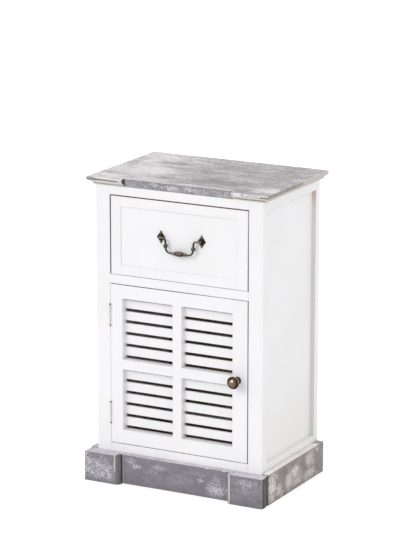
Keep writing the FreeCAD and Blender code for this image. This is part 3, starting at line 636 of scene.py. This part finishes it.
def brushed():
    # cover of the pale wash, with the bristle marks for the bump
    v = topWash
    cover = ramp(at.x, *v["cover"])
    marks = {}
    for name in ("blotch", "streak", "speck"):
        stretch, scale, share = v[name]
        stretched = vectorCalc("MULTIPLY", at.place, stretch)
        marks[name] = calc("SUBTRACT", noise(stretched, scale, *v["bristle"]), 0.5)
        cover = calc("MULTIPLY_ADD", marks[name], share, cover)
    for across, deep, width, depth, change in topPatches:
        centre = (across, deep, cadHigh.z)
        patch = scuffed(centre, (width, depth, v["through"]), **v["patch"])
        cover = calc("MULTIPLY_ADD", patch, change, cover)
    return ramp(cover, 0.0, 1.0), marks["streak"]


# Moulded edge of the top: bands are (upper, lower) drops below the top face. Besides the wash they carry painted
# light and shade: light bands are partly painted highlight where the profile faces up, grey and dark bands partly
# painted shade where it turns down or in
mouldingWash = dict(
    cream=rgb(222, 218, 210), light=rgb(206, 202, 199), dark=rgb(116, 109, 108),
    grey=rgb(166, 163, 160), olive=rgb(146, 143, 136),
    rim=dict(Soft=0.0006, Ragged=0.0022, Scale=60.0),
    stain=dict(Stretch=(1, 1, 3), Scale=60.0, Start=0.42, End=0.66, Seed=8.0),
    sideFaces=(0.1, 0.2), end=rgb(70, 64, 62), endReach=0.0008, endBand=(0.0002, 0.0152),
    endRim=dict(Soft=0.0006, Ragged=0.0016),
)


def layer(color, drop, limits, tone, *shares):
    # one band of colour along the moulding
    mask = banded(drop, *limits, **mouldingWash["rim"])
    return over(color, tone, mask, *shares)


leftMoulding = dict(
    corner=(-0.19, -0.174), lineStart=(0.0006, 0.0038), lineFoot=(0.0084, 0.0068),
    lineEnd=(-0.1285, -0.1305, 0.15, 1.0), tip=rgb(144, 139, 143), lip=(0.0016, 0.0024),
    # the light band under the nose is painted lighter to stand in for light reaching under it
    under=rgb(226, 223, 218), underBand=(0.007, 0.0122), greyBand=(0.0126, 0.0164), greyStain=0.5,
    worn=rgb(184, 177, 178), wornStart=(-0.1295, -0.1275), wornStain=(0.25, 0.9),
)


def leftEdge(drop, stain):
    # cream lip, dark line that widens at the corner, light bead, grey hollow
    v = leftMoulding
    w = mouldingWash
    color = over(w["cream"], w["light"], ramp(drop, *v["lip"]))
    color = layer(color, drop, v["underBand"], v["under"])
    limits = [ramp(at.x, *v["corner"], *v[name]) for name in ("lineStart", "lineFoot")]
    line = over(v["tip"], w["dark"], ramp(at.x, *v["corner"]))
    color = layer(color, drop, limits, line, ramp(at.x, *v["lineEnd"]))
    grey = over(w["grey"], w["light"], stain, v["greyStain"])
    color = layer(color, drop, v["greyBand"], grey)
    return over(color, v["worn"], ramp(at.x, *v["wornStart"]), between(stain, *v["wornStain"]))


rightMoulding = dict(
    white=rgb(214, 214, 219), rosy=rgb(210, 196, 193), tip=(0.0034, 0.0044), corner=(0.182, 0.185),
    fleck=dict(Stretch=(1, 1, 1.5), Scale=190.0, Start=0.42, End=0.54, Seed=4.0),
    fleckStart=(0.139, 0.145), fleckShare=0.8, greyBand=(0.0, 0.0015), creamBand=(0.007, 0.02),
    oliveBand=(0.0114, 0.0152), lipEnd=(0.0044, 0.0032), lipFoot=(0.009, 0.007),
    joint=rgb(212, 210, 213), jointEnd=(0.0022, 0.0018),
)


def rightEdge(drop, stain):
    # grey arris, white lip broken into flecks, cream bead, olive hollow; rosy and dark at the corner
    v = rightMoulding
    w = mouldingWash
    inward = calc("SUBTRACT", at.x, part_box("top_edge_strips")[1].x)
    fleck = mottled(v["fleck"])
    color = over(v["white"], w["olive"], fleck, ramp(at.x, *v["fleckStart"]), v["fleckShare"])
    tip = over(v["rosy"], w["dark"], ramp(drop, *v["tip"]))
    color = over(color, tip, ramp(at.x, *v["corner"]))
    color = layer(color, drop, v["greyBand"], w["grey"])
    color = layer(color, drop, v["creamBand"], w["cream"])
    color = layer(color, drop, v["oliveBand"], over(w["olive"], w["grey"], stain))
    color = over(color, w["grey"], ramp(inward, *v["lipEnd"]), ramp(drop, *v["lipFoot"]))
    return over(color, v["joint"], ramp(inward, *v["jointEnd"]))


sideMoulding = dict(
    side=rgb(196, 190, 186), light=rgb(212, 207, 205), lightBand=(0.0004, 0.002),
    arrisBand=(-0.001, 0.0004), arrisShare=0.8, brown=rgb(136, 128, 122), rear=(0.012, 0.042),
    brownStart=(0.0004, 0.0022), brownFoot=(0.0084, 0.0046), brownShare=(1.0, 0.4),
    brownStain=(0.95, 0.6), greyBand=(0.0096, 0.0108), greyShare=0.4,
)


def sideEdge(drop, stain):
    # grey arris, light lip, brown line that thins towards the rear, beige below
    v = sideMoulding
    w = mouldingWash
    rear = ramp(at.y, *v["rear"])
    color = layer(v["side"], drop, v["lightBand"], v["light"])
    color = layer(color, drop, v["arrisBand"], w["grey"], v["arrisShare"])
    start, foot, share = [between(rear, *v[name]) for name in ("brownStart", "brownFoot", "brownShare")]
    stained = between(stain, *v["brownStain"])
    color = layer(color, drop, (start, foot), v["brown"], share, stained)
    return layer(color, drop, v["greyBand"], w["grey"], v["greyShare"])


def makeTopWash(node):
    newMaterial("greyWash_" + node)
    v = topWash
    w = mouldingWash
    cover, streak = brushed()
    face = over(v["grey"], v["pale"], cover)
    face = over(face, v["warm"], mottled(v["blush"]), v["warmShare"])
    face = over(face, v["grey"], ramp(calc("SUBTRACT", at.x, cadLow.x), *v["leftLine"]))
    drop = calc("SUBTRACT", cadHigh.z, at.z)
    stain = mottled(w["stain"])
    left, right, side = [make(drop, stain) for make in (leftEdge, rightEdge, sideEdge)]
    edge = over(left, right, calc("GREATER_THAN", at.x, 0.0))
    edge = over(edge, side, ramp(at.sideways, *w["sideFaces"]))
    back = over(w["grey"], w["light"], stain)
    edge = over(edge, back, looking(backward))
    # inner end of the left corner: dark end grain with painted shade, chipped
    atEnd = calc("COMPARE", at.x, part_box("top_edge_strips")[0].x, w["endReach"])
    chipped = banded(drop, *w["endBand"], **w["endRim"])
    edge = over(edge, w["end"], atEnd, looking(rightward), chipped)
    return dress(over(edge, face, looking(upward)), v["rough"], height=streak, depth=v["depth"])


# Front strip: grey, granular, with white dragged along it
stripWash = dict(
    coat=rgb(148, 144, 148), deep=rgb(108, 102, 105), white=rgb(212, 212, 219), leastWhite=0.28,
    tone=dict(Stretch=(1, 1, 2), Scale=45.0, Start=0.35, End=0.66, Seed=1.0),
    speck=dict(Stretch=(1, 1, 1.4), Scale=420.0, Start=0.4, End=0.58, Seed=3.0),
    speckCover=(0.1, 1.0), through=0.1, drag=dict(Ragged=2.0, Scale=90.0),
    line=rgb(106, 100, 102), lineRim=dict(Soft=0.0005, Ragged=0.002),
    topLine=(-0.003, -0.0012, 0.5), footLine=(-0.001, 0.0012, 0.4),
    joint=rgb(214, 213, 218), jointAt=0.0587, jointRim=dict(Soft=0.0004, Ragged=0.0006),
    jointLight=(-0.002, 0.0, 0.4), jointLine=(0.0, 0.0016, 0.6),
    waveTop=0.0012, waveRim=dict(Soft=0.0006, Ragged=0.004, Scale=45.0), waveShare=0.5, waveLeast=0.4,
    rough=0.65, depth=0.0003,
)
# White drags: (x, height above the middle, half width, half height, strength)
stripDrags = (
    (-0.115, 0.0, 0.006, 0.014, 0.5), (-0.052, 0.001, 0.015, 0.006, 0.8),
    (-0.018, -0.001, 0.032, 0.006, 1.0), (0.03, 0.0, 0.026, 0.008, 0.8),
    (0.053, 0.002, 0.006, 0.008, 0.45), (0.083, 0.0, 0.024, 0.012, 0.5), (0.108, 0.001, 0.012, 0.01, 0.6),
    (-0.09, -0.003, 0.02, 0.004, 0.1),
)


def makeStripWash(node):
    newMaterial("greyWash_" + node)
    v = stripWash
    low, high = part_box(node)
    middle = (low.z + high.z) / 2
    color = over(v["deep"], v["coat"], mottled(v["tone"]))
    white = v["leastWhite"]
    for across, above, width, height, strength in stripDrags:
        centre = (across, low.y, middle + above)
        drag = scuffed(centre, (width, v["through"], height), **v["drag"])
        white = calc("MAXIMUM", times(drag, strength), white)
    white = times(white, between(mottled(v["speck"]), *v["speckCover"]))
    color = over(color, v["white"], white)
    for value, edge, name, tint, rim in (
        (at.z, high.z, "topLine", "line", "lineRim"),
        (at.z, low.z, "footLine", "line", "lineRim"),
        (at.x, v["jointAt"], "jointLight", "joint", "jointRim"),
        (at.x, v["jointAt"], "jointLine", "line", "jointRim"),
    ):
        start, end, share = v[name]
        color = over(color, v[tint], banded(value, edge + start, edge + end, **v[rim]), share)
    thin = calc("MULTIPLY_ADD", brushed()[0], v["waveShare"], v["waveLeast"])
    face = over(topWash["grey"], topWash["pale"], thin)
    wave = banded(at.z, high.z - v["waveTop"], high.z + beyond, **v["waveRim"])
    return dress(over(color, face, wave), v["rough"], height=white, depth=v["depth"])


# Handle: dark patina, rubbed lighter on ridges, with a painted highlight on the upper sides; marks are (centre,
# size, tone)
antiqueBrass = dict(
    patina=rgb(26, 21, 19), metal=rgb(146, 142, 120), gold=rgb(178, 164, 104), rose=rgb(190, 152, 130),
    # glint, blush and grey are painted highlights
    copper=rgb(108, 91, 88), umber=rgb(80, 72, 68), grey=rgb(140, 134, 132), glint=rgb(236, 206, 184),
    blush=rgb(160, 138, 132), mark=dict(Ragged=0.7, Scale=600.0), markShare=0.95,
    rub=dict(Scale=420.0, Start=0.3, End=0.75), rubLift=0.03, ridge=(0.5, 0.62),
    upper=(-0.4, -0.5, 0.77), litFaces=(0.45, 0.95),
    rough=(0.46, 0.3), metallic=0.75, specular=0.25, depth=0.00006,
)


def makeHandleBrass(name, marks, ridgeShare, highlightShare):
    newMaterial("antiqueBrass_" + name)
    v = antiqueBrass
    raised = addNode("ShaderNodeNewGeometry").outputs["Pointiness"]
    rub = mottled(v["rub"])
    ridge = ramp(calc("MULTIPLY_ADD", rub, v["rubLift"], raised), *v["ridge"])
    # painted highlight: faces turned up towards the light are lighter
    above = ramp(vectorCalc("DOT_PRODUCT", at.normal, v["upper"]), *v["litFaces"])
    # bright joins the rubbed ridges with the painted highlight
    bright = calc("MAXIMUM", times(ridge, ridgeShare), times(above, highlightShare))
    color = over(v["patina"], v["metal"], bright)
    for centre, size, tone in marks:
        color = over(color, v[tone], scuffed(centre, size, **v["mark"]), v["markShare"])
    at.surface["Specular IOR Level"].default_value = v["specular"]
    return dress(color, between(bright, *v["rough"]), v["metallic"], rub, v["depth"])


# Knob, by shares of its radius and of its reach: rubbed dome with painted reflection on its left, painted shade on
# its right and a painted highlight spot, dark ring, thin bright outer edge, dull stem
knobFinish = dict(
    dome=rgb(158, 132, 94), domeDull=rgb(122, 106, 92), rub=dict(Scale=260.0, Start=0.3, End=0.72),
    mauve=rgb(138, 122, 120), litSide=(-0.1, -0.6, 0.0, 0.8),
    olive=rgb(84, 76, 58), shadedSide=(0.05, 0.6, 0.0, 0.85),
    spot=rgb(240, 226, 212), highlightRise=0.36, highlightSize=0.3, highlightRagged=0.5, highlightSpotShare=0.55,
    ring=rgb(52, 43, 40), ringStart=(0.63, 0.76), edge=rgb(176, 150, 112), edgeStart=(0.955, 0.985),
    stem=rgb(58, 50, 38), stemEnd=(0.66, 0.62), rough=(0.3, 0.2),
)


def makeKnobBrass():
    newMaterial("antiqueBrass_knob")
    low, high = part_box("door_knob")
    v = knobFinish
    middle = (low + high) / 2
    radius = (high.x - low.x) / 2
    x, y, z = split(vectorCalc("SUBTRACT", at.place, middle))
    flat = addNode("ShaderNodeCombineXYZ", {"X": x, "Z": z}).outputs[0]
    share = calc("DIVIDE", vectorCalc("LENGTH", flat), radius)
    across = calc("DIVIDE", x, radius)
    out = calc("DIVIDE", calc("SUBTRACT", high.y - middle.y, y), high.y - low.y)
    rub = mottled(v["rub"])
    color = over(v["domeDull"], v["dome"], rub)
    # painted light: a lit mauve left side, a shaded olive right side and a highlight spot above the middle
    color = over(color, v["mauve"], ramp(across, *v["litSide"]))
    color = over(color, v["olive"], ramp(across, *v["shadedSide"]))
    centre = Vector((middle.x, low.y, middle.z + v["highlightRise"] * radius))
    spot = scuffed(centre, (v["highlightSize"] * radius,) * 3, Ragged=v["highlightRagged"])
    color = over(color, v["spot"], spot, v["highlightSpotShare"])
    color = over(color, v["ring"], ramp(share, *v["ringStart"]))
    color = over(color, v["edge"], ramp(share, *v["edgeStart"]))
    color = over(color, v["stem"], ramp(out, *v["stemEnd"]))
    return dress(color, between(rub, *v["rough"]), antiqueBrass["metallic"], rub, antiqueBrass["depth"])


tarnish = dict(Scale=220.0, Start=0.35, End=0.7)

# Hinges: cream-grey barrels, dark at both ends
hingeFinish = dict(
    barrel=rgb(232, 222, 210), dull=rgb(208, 196, 182), end=rgb(86, 66, 54), length=0.0468,
    endReach=(0.0044, 0.0022), metallic=0.6, rough=(0.35, 0.5),
)


def makeHingeBrass():
    newMaterial("hingeBrass")
    v = hingeFinish
    low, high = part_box("hinge_pins")
    half = (high.z - low.z) / 2
    away = calc("ABSOLUTE", calc("SUBTRACT", at.z, (low.z + high.z) / 2))
    fromOuter = calc("SUBTRACT", half, away)
    fromInner = calc("SUBTRACT", away, half - v["length"])
    fromEnd = calc("MINIMUM", fromOuter, fromInner)
    dull = mottled(tarnish)
    color = over(v["barrel"], v["dull"], dull)
    color = over(color, v["end"], ramp(fromEnd, *v["endReach"]))
    return dress(color, between(dull, *v["rough"]), v["metallic"])


steelFinish = dict(bright=rgb(120, 118, 116), dull=rgb(88, 86, 84), metallic=0.9, rough=(0.35, 0.5))
nailFinish = dict(bright=rgb(64, 60, 58), dull=rgb(40, 37, 36), metallic=0.4, rough=(0.5, 0.7))


def makeSteel(name, v):
    newMaterial(name)
    dull = mottled(tarnish)
    color = over(v["bright"], v["dull"], dull)
    return dress(color, between(dull, *v["rough"]), v["metallic"])


catchFinish = dict(
    light=rgb(214, 208, 196), dark=rgb(200, 194, 182), pebble=dict(Scale=900.0, Start=0.3, End=0.7),
    rough=0.55, depth=0.00008,
)


def makeCatchPlastic():
    newMaterial("catchPlastic")
    v = catchFinish
    pebble = mottled(v["pebble"])
    return dress(over(v["light"], v["dark"], pebble), v["rough"], height=pebble, depth=v["depth"])


record = frame["record"]
slotOf = {part["node"]: part["material_slot"] for part in record["subparts"]}
plainFinishes = {
    "hinge_brass": makeHingeBrass(), "catch_plastic": makeCatchPlastic(),
    "steel": makeSteel("zincSteel", steelFinish),
}
for node, seed in plinthSeeds.items():
    paint(node, makePlinthWash(node, seed))
for node, seed in sideSeeds.items():
    paint(node, makeSideWash(node, seed))
paint("top_board", makeTopWash("top_board"))
paint("top_edge_strips", makeStripWash("top_edge_strips"))
for number, node in enumerate(sorted(nodes)):
    slot = slotOf[node]
    if slot == "white_paint":
        paint(node, makeWhitePaint(node, number * whitePaint["seedStep"]))
    elif slot == "bare_wood":
        paint(node, makeBareWood(node))
    elif slot in plainFinishes:
        paint(node, plainFinishes[slot])
paint("plinth_nails", makeSteel("darkNails", nailFinish))
print("finishes:", len(bpy.data.materials), "materials")


# Modelling moves that the hardware shares
modelling = dict(mergeDistance=0.000002, smoothAngle=35.0)


def deselect():
    if bpy.context.object and bpy.context.object.mode != "OBJECT":
        bpy.ops.object.mode_set(mode="OBJECT")
    bpy.ops.object.select_all(action="DESELECT")


def startRing(centre, turn, radius, sides, fill):
    deselect()
    bpy.ops.mesh.primitive_circle_add(
        vertices=sides, radius=radius, fill_type=fill, location=centre, rotation=turn,
    )


def editAll():
    bpy.ops.object.mode_set(mode="EDIT")
    bpy.ops.mesh.select_all(action="SELECT")


def startDisc(centre, axis, radius, sides):
    # a filled circle, square to the axis, ready to be pulled out in edit mode
    startRing(centre, axis.to_track_quat("Z", "Y").to_euler(), radius, sides, "NGON")
    editAll()


def pull(step):
    bpy.ops.mesh.extrude_region_move(TRANSFORM_OT_translate={"value": step})


def swell(share, centre):
    bpy.ops.transform.resize(value=(share, share, share), center_override=centre)


def selectWhere(piece, kind, items, test):
    # picks vertices or faces in code; the mesh has to be read back in object mode
    bpy.ops.object.mode_set(mode="EDIT")
    bpy.ops.mesh.select_mode(type=kind)
    bpy.ops.mesh.select_all(action="DESELECT")
    bpy.ops.object.mode_set(mode="OBJECT")
    for item in getattr(piece.data, items):
        item.select = bool(test(item))
    bpy.ops.object.mode_set(mode="EDIT")


def closeUp():
    # one clean shell with its faces outwards, its place in the mesh
    bpy.ops.mesh.select_all(action="SELECT")
    bpy.ops.mesh.remove_doubles(threshold=modelling["mergeDistance"])
    bpy.ops.mesh.normals_make_consistent(inside=False)
    bpy.ops.object.mode_set(mode="OBJECT")
    bpy.ops.object.transform_apply(location=True, rotation=True, scale=True)
    return bpy.context.object


def turnOut(start, axis, rings, sides):
    # rings are (radius, distance along the axis), pulled out one after the other
    radius, along = rings[0]
    startDisc(start + axis * along, axis, radius, sides)
    for nextRadius, nextAlong in rings[1:]:
        pull(axis * (nextAlong - along))
        swell(nextRadius / radius, start + axis * nextAlong)
        radius, along = nextRadius, nextAlong
    return closeUp()


def joinPieces(name, pieces, material):
    deselect()
    for piece in pieces:
        piece.select_set(True)
    bpy.context.view_layer.objects.active = pieces[0]
    if len(pieces) > 1:
        bpy.ops.object.join()
    whole = bpy.context.object
    bpy.ops.object.shade_smooth_by_angle(angle=math.radians(modelling["smoothAngle"]))
    whole.name = name
    whole.data.name = name
    whole.data.materials.clear()
    whole.data.materials.append(material)
    return whole


def hang(piece, body, node):
    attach(piece, body)
    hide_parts(node)


def seatOf(node):
    # middle of the face by which a piece of hardware sits on the front
    low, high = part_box(node)
    return Vector(((low.x + high.x) / 2, high.y, (low.z + high.z) / 2))


# Door knob: shares of its radius and of its reach from the door
knob = dict(
    sides=64,
    stem=((0.59, 0.0), (0.6, 0.02), (0.575, 0.045), (0.47, 0.075), (0.385, 0.12), (0.335, 0.18),
          (0.315, 0.26), (0.33, 0.35), (0.4, 0.45), (0.56, 0.55), (0.78, 0.615), (0.93, 0.655)),
    rim=((0.985, 0.685), (1.0, 0.725), (0.985, 0.765), (0.93, 0.8), (0.85, 0.815), (0.775, 0.805),
         (0.72, 0.785)),
    domeFoot=0.685, domeStart=0.79, domeSteps=9,
)


def makeKnob():
    low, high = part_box("door_knob")
    v = knob
    radius = (high.x - low.x) / 2
    reach = high.y - low.y
    rings = [(radius * r, reach * a) for r, a in v["stem"] + v["rim"]]
    for step in range(v["domeSteps"]):
        turn = math.pi / 2 * step / (v["domeSteps"] - 0.5)  # stops half a step short of the pole
        rise = v["domeStart"] + (1 - v["domeStart"]) * math.sin(turn)
        rings.append((radius * v["domeFoot"] * math.cos(turn), reach * rise))
    turned = turnOut(seatOf("door_knob"), outward, rings, v["sides"])
    hang(joinPieces("doorKnob", [turned], makeKnobBrass()), "door", "door_knob")


# Rosette: a pointed leaf with hollow sides and a raised middle, two rubbed pads, the post of the bail
rosette = dict(
    cuts=9, cutReach=0.01, hollow=0.07, edge=0.001, rise=0.0016, crown=0.6,
    padPlace=0.56, padDepth=0.45, padRadius=0.0019, padRise=0.0012, padSides=20,
    padTurns=(0.0, 0.4, 0.8, 1.15, 1.45), postSides=32,
    post=((0.0046, 0.0), (0.0047, 0.0005), (0.0042, 0.0011), (0.0032, 0.0017), (0.0029, 0.0034),
          (0.0031, 0.0045)),
    ball=0.0028, ballSteps=10, ballStart=-0.85, ballEnd=math.pi / 2 - 0.05,
    markPlace=0.58, markSize=(0.0023, 0.004, 0.0034), ballMark=0.0044, ridgeShare=0.1, highlightShare=0.12,
)
bailJoint = next(joint for joint in frame["joints"] if joint["name"] == "bail_swing")
frameEye = Vector(bailJoint["pos_m"])


def makeLeaf(seat, half):
    v = rosette
    startRing(seat, (math.pi / 2, 0, 0), 1.0, 4, "NOTHING")
    bpy.ops.object.transform_apply(location=False, rotation=True, scale=False)
    leaf = bpy.context.object
    leaf.scale = (half.x, 1.0, half.z)
    bpy.ops.object.transform_apply(location=True, rotation=False, scale=True)
    editAll()
    bpy.ops.mesh.subdivide(number_cuts=v["cuts"])
    for cut in range(1, v["cuts"] + 1):
        share = cut / (v["cuts"] + 1)
        selectWhere(leaf, "VERT", "vertices",
                    lambda point: abs(abs(point.co.x - seat.x) / half.x - share) < v["cutReach"])
        swell(1 - v["hollow"] * math.sin(math.pi * share), seat)
    bpy.ops.mesh.select_all(action="SELECT")
    bpy.ops.mesh.edge_face_add()
    pull(outward * v["edge"])
    pull(outward * v["rise"])
    swell(v["crown"], seat + outward * (v["edge"] + v["rise"]))
    return closeUp()


def makePost(crown):
    # a turned post with a ball round the eye of the bail
    v = rosette
    eye = crown.y - frameEye.y
    rings = list(v["post"])
    for step in range(v["ballSteps"]):
        turn = v["ballStart"] + (v["ballEnd"] - v["ballStart"]) * step / (v["ballSteps"] - 1)
        rings.append((v["ball"] * math.cos(turn), eye + v["ball"] * math.sin(turn)))
    return turnOut(crown, outward, rings, v["postSides"])


def makeRosette(name, node, upperTone):
    low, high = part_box(node)
    seat = seatOf(node)
    half = Vector((high.x - low.x, 0, high.z - low.z)) / 2
    v = rosette
    pieces = [makeLeaf(seat, half)]
    face = seat + outward * (v["edge"] + v["rise"] * v["padDepth"])
    dome = [(v["padRadius"] * math.cos(turn), v["padRise"] * math.sin(turn)) for turn in v["padTurns"]]
    for way in (-1, 1):
        pad = face + Vector((0, 0, way * half.z * v["padPlace"]))
        pieces.append(turnOut(pad, outward, dome, v["padSides"]))
    pieces.append(makePost(seat + outward * (v["edge"] + v["rise"])))
    above = Vector((0, 0, half.z * v["markPlace"]))
    ballMiddle = Vector((seat.x, frameEye.y, seat.z))
    # the grey mark on the ball is a painted highlight
    marks = [(seat + above, v["markSize"], upperTone), (seat - above, v["markSize"], "gold"),
             (ballMiddle, (v["ballMark"],) * 3, "grey")]
    brass = makeHandleBrass(name, marks, v["ridgeShare"], v["highlightShare"])
    hang(joinPieces(name, pieces, brass), "drawer", node)


# Bail: one rod from eye to eye with collars, beads, leaves and a fluted grip
# Rings are (radius, place along); those of collars and leaves have shares of the rod's radius
bail = dict(
    rod=0.0019, endReach=0.0018, sides=20, bendSteps=8, tilt=2.0,
    shoulderInset=0.0138, shoulderRound=0.0062, footInset=0.015, footRound=0.01, drop=0.028,
    collar=((1.0, -0.0044), (1.7, -0.0038), (2.2, -0.0022), (2.6, -0.0004), (1.9, 0.0006), (2.2, 0.0016),
            (1.6, 0.0034), (1.0, 0.0044)),
    collarShare=0.54, collarMark=(0.009, 0.009, 0.009), ringSides=24,
    beadPlace=0.0124, bead=0.0037, beadHalf=0.0024, beadTurn=1.2, beadSteps=3, beadNeck=0.55,
    beadMark=(0.0028, 0.0028, 0.0028), leaf=((1.2, 0.0146), (1.5, 0.0158), (1.35, 0.0176), (1.0, 0.0204)),
    grip=((0.0025, -0.0099), (0.0036, -0.0093), (0.0045, -0.007), (0.005, -0.0038), (0.0052, 0.0)),
    gripSides=28, flute=0.00045, fluteRim=0.5, fluteSlope=0.5, gripMark=(0.0115, 0.009, 0.009),
    ridgeShare=0.4, highlightShare=0.95,
)


def bailPlane(across, drop):
    tilt = math.radians(bail["tilt"])
    return frameEye + Vector((across, -drop * math.sin(tilt), -drop * math.cos(tilt)))


def sweepRod(points, radii):
    # straight pulls joined by spins round each corner
    startDisc(points[0], (points[1] - points[0]).normalized(), bail["rod"], bail["sides"])
    start = points[0]
    for before, corner, after, bend in zip(points, points[1:], points[2:], radii):
        inward = (before - corner).normalized()
        onward = (after - corner).normalized()
        halfTurn = (math.pi - inward.angle(onward)) / 2
        first = corner + inward * bend * math.tan(halfTurn)
        centre = corner + (inward + onward).normalized() * bend / math.cos(halfTurn)
        pull(first - start)
        axis = inward.cross(onward)
        bpy.ops.mesh.spin(steps=bail["bendSteps"], angle=2 * halfTurn, center=centre, axis=axis)
        start = corner + onward * bend * math.tan(halfTurn)
    pull(points[-1] - start)
    return closeUp()


def makeGrip(middle, sideways):
    v = bail
    rings = list(v["grip"]) + [(r, -a) for r, a in reversed(v["grip"][:-1])]
    grip = turnOut(middle, sideways, rings, v["gripSides"])
    step = 2 * math.pi / v["gripSides"]

    def fluted(face):
        # every other row of faces round the grip, without its ends
        place = face.center - middle
        spoke = int(round(math.atan2(place.z, place.y) / step - 0.5))
        return spoke % 2 == 0 and abs(face.normal.x) < v["fluteSlope"]

    selectWhere(grip, "FACE", "polygons", fluted)
    bpy.ops.mesh.inset(thickness=v["flute"] * v["fluteRim"], depth=-v["flute"])
    return closeUp()


def makeBead(middle, axis):
    v = bail
    rings = []
    for step in range(-v["beadSteps"], v["beadSteps"] + 1):
        turn = v["beadTurn"] * step / v["beadSteps"]
        radius = v["bead"] * max(math.cos(turn), v["beadNeck"])
        rings.append((radius, v["beadPlace"] + v["beadHalf"] * math.sin(turn) / math.sin(v["beadTurn"])))
    return turnOut(middle, axis, rings, v["ringSides"])


def makeBail():
    v = bail
    half = frameEye.x - seatOf("handle_rosette_left").x
    ends = half + v["endReach"]
    shoulder = half - v["shoulderInset"]
    foot = half - v["footInset"]
    corners = [bailPlane(-ends, 0), bailPlane(-shoulder, 0), bailPlane(-foot, v["drop"]),
               bailPlane(foot, v["drop"]), bailPlane(shoulder, 0), bailPlane(ends, 0)]
    pieces = [sweepRod(corners, (v["shoulderRound"], v["footRound"], v["footRound"], v["shoulderRound"]))]
    sideways = Vector(rightward)
    middle = bailPlane(0, v["drop"])
    marks = [(middle, v["gripMark"], "copper")]
    collar, leaf = [[(v["rod"] * r, a) for r, a in v[name]] for name in ("collar", "leaf")]
    for way in (-1, 1):
        arm = bailPlane(way * foot, v["drop"]) - bailPlane(way * shoulder, 0)
        collarMiddle = bailPlane(way * shoulder, 0) + arm * v["collarShare"]
        marks.append((collarMiddle, v["collarMark"], "umber"))
        pieces.append(turnOut(collarMiddle, arm.normalized(), collar, v["ringSides"]))
        pieces.append(makeBead(middle, sideways * way))
        pieces.append(turnOut(middle, sideways * way, leaf, v["ringSides"]))
    pieces.append(makeGrip(middle, sideways))
    # painted highlights on the fronts of the beads
    for way, tone in ((-1, "glint"), (1, "blush")):
        front = middle + Vector((way * v["beadPlace"], -v["bead"], v["bead"] / 2))
        marks.append((front, v["beadMark"], tone))
    brass = makeHandleBrass("bail", marks, v["ridgeShare"], v["highlightShare"])
    hang(joinPieces("handleBail", pieces, brass), "handle_bail", "handle_bail")


makeKnob()
makeRosette("handleRosetteLeft", "handle_rosette_left", "rose")
makeRosette("handleRosetteRight", "handle_rosette_right", "gold")
makeBail()
print("hardware: knob, rosettes and bail")


# Floor, light and camera

white = (1, 1, 1, 1)
floorValues = dict(size=40.0, color=(0.86, 0.86, 0.86, 1.0), rough=0.9, lift=0.35)


def makeFloor():
    v = floorValues
    deselect()
    bpy.ops.mesh.primitive_plane_add(size=v["size"], location=(0, 0, 0))
    floor = bpy.context.object
    floor.name = "floor"
    newMaterial("paleFloor")
    material = dress(v["color"], v["rough"])
    at.surface["Emission Color"].default_value = white
    seen = addNode("ShaderNodeLightPath").outputs["Is Camera Ray"]
    feed(at.surface["Emission Strength"], calc("MULTIPLY", seen, v["lift"]))
    floor.data.materials.append(material)


lightValues = dict(
    keyTravel=(8.6, 20.0, -12.8), keyDistance=0.1, keyStrength=0.9, keySpread=24.0,
    sky=0.935, skyRight=0.38,
)


def makeLight():
    v = lightValues
    deselect()
    travel = Vector(v["keyTravel"])
    bpy.ops.object.light_add(type="SUN", location=-travel * v["keyDistance"])
    key = bpy.context.object
    key.name = "keyLight"
    key.rotation_euler = travel.to_track_quat("-Z", "Y").to_euler()
    key.data.energy = v["keyStrength"]
    key.data.angle = math.radians(v["keySpread"])

    world = bpy.data.worlds.new("studio")
    bpy.context.scene.world = world
    world.use_nodes = True
    at.tree = world.node_tree
    at.tree.nodes.clear()
    across = split(addNode("ShaderNodeTexCoord").outputs["Generated"])[0]
    soft = calc("MULTIPLY_ADD", across, v["skyRight"], v["sky"])
    seen = addNode("ShaderNodeLightPath").outputs["Is Camera Ray"]
    strength = calc("MAXIMUM", soft, seen)
    sky = addNode("ShaderNodeBackground", {"Color": white, "Strength": strength})
    addNode("ShaderNodeOutputWorld", {"Surface": sky.outputs[0]})


cameraValues = dict(
    target=(0.04781, -0.115, 0.45785), azimuth=28.02, elevation=13.97, distance=5.4074,
    lens=185.39, sensor=36.0, farthest=200.0,
)


def makeCamera():
    v = cameraValues
    deselect()
    azimuth = math.radians(v["azimuth"])
    elevation = math.radians(v["elevation"])
    level = Vector((math.sin(azimuth), -math.cos(azimuth), 0)) * math.cos(elevation)
    back = level + Vector((0, 0, math.sin(elevation)))
    bpy.ops.object.camera_add(location=Vector(v["target"]) + back * v["distance"])
    camera = bpy.context.object
    camera.name = "camera"
    camera.rotation_euler = (-back).to_track_quat("-Z", "Y").to_euler()
    camera.data.lens = v["lens"]
    camera.data.sensor_width = v["sensor"]
    camera.data.clip_end = v["farthest"]
    bpy.context.scene.camera = camera
    bpy.context.scene.view_settings.view_transform = "Standard"


makeFloor()
makeLight()
makeCamera()
print("stage: floor, light and camera")
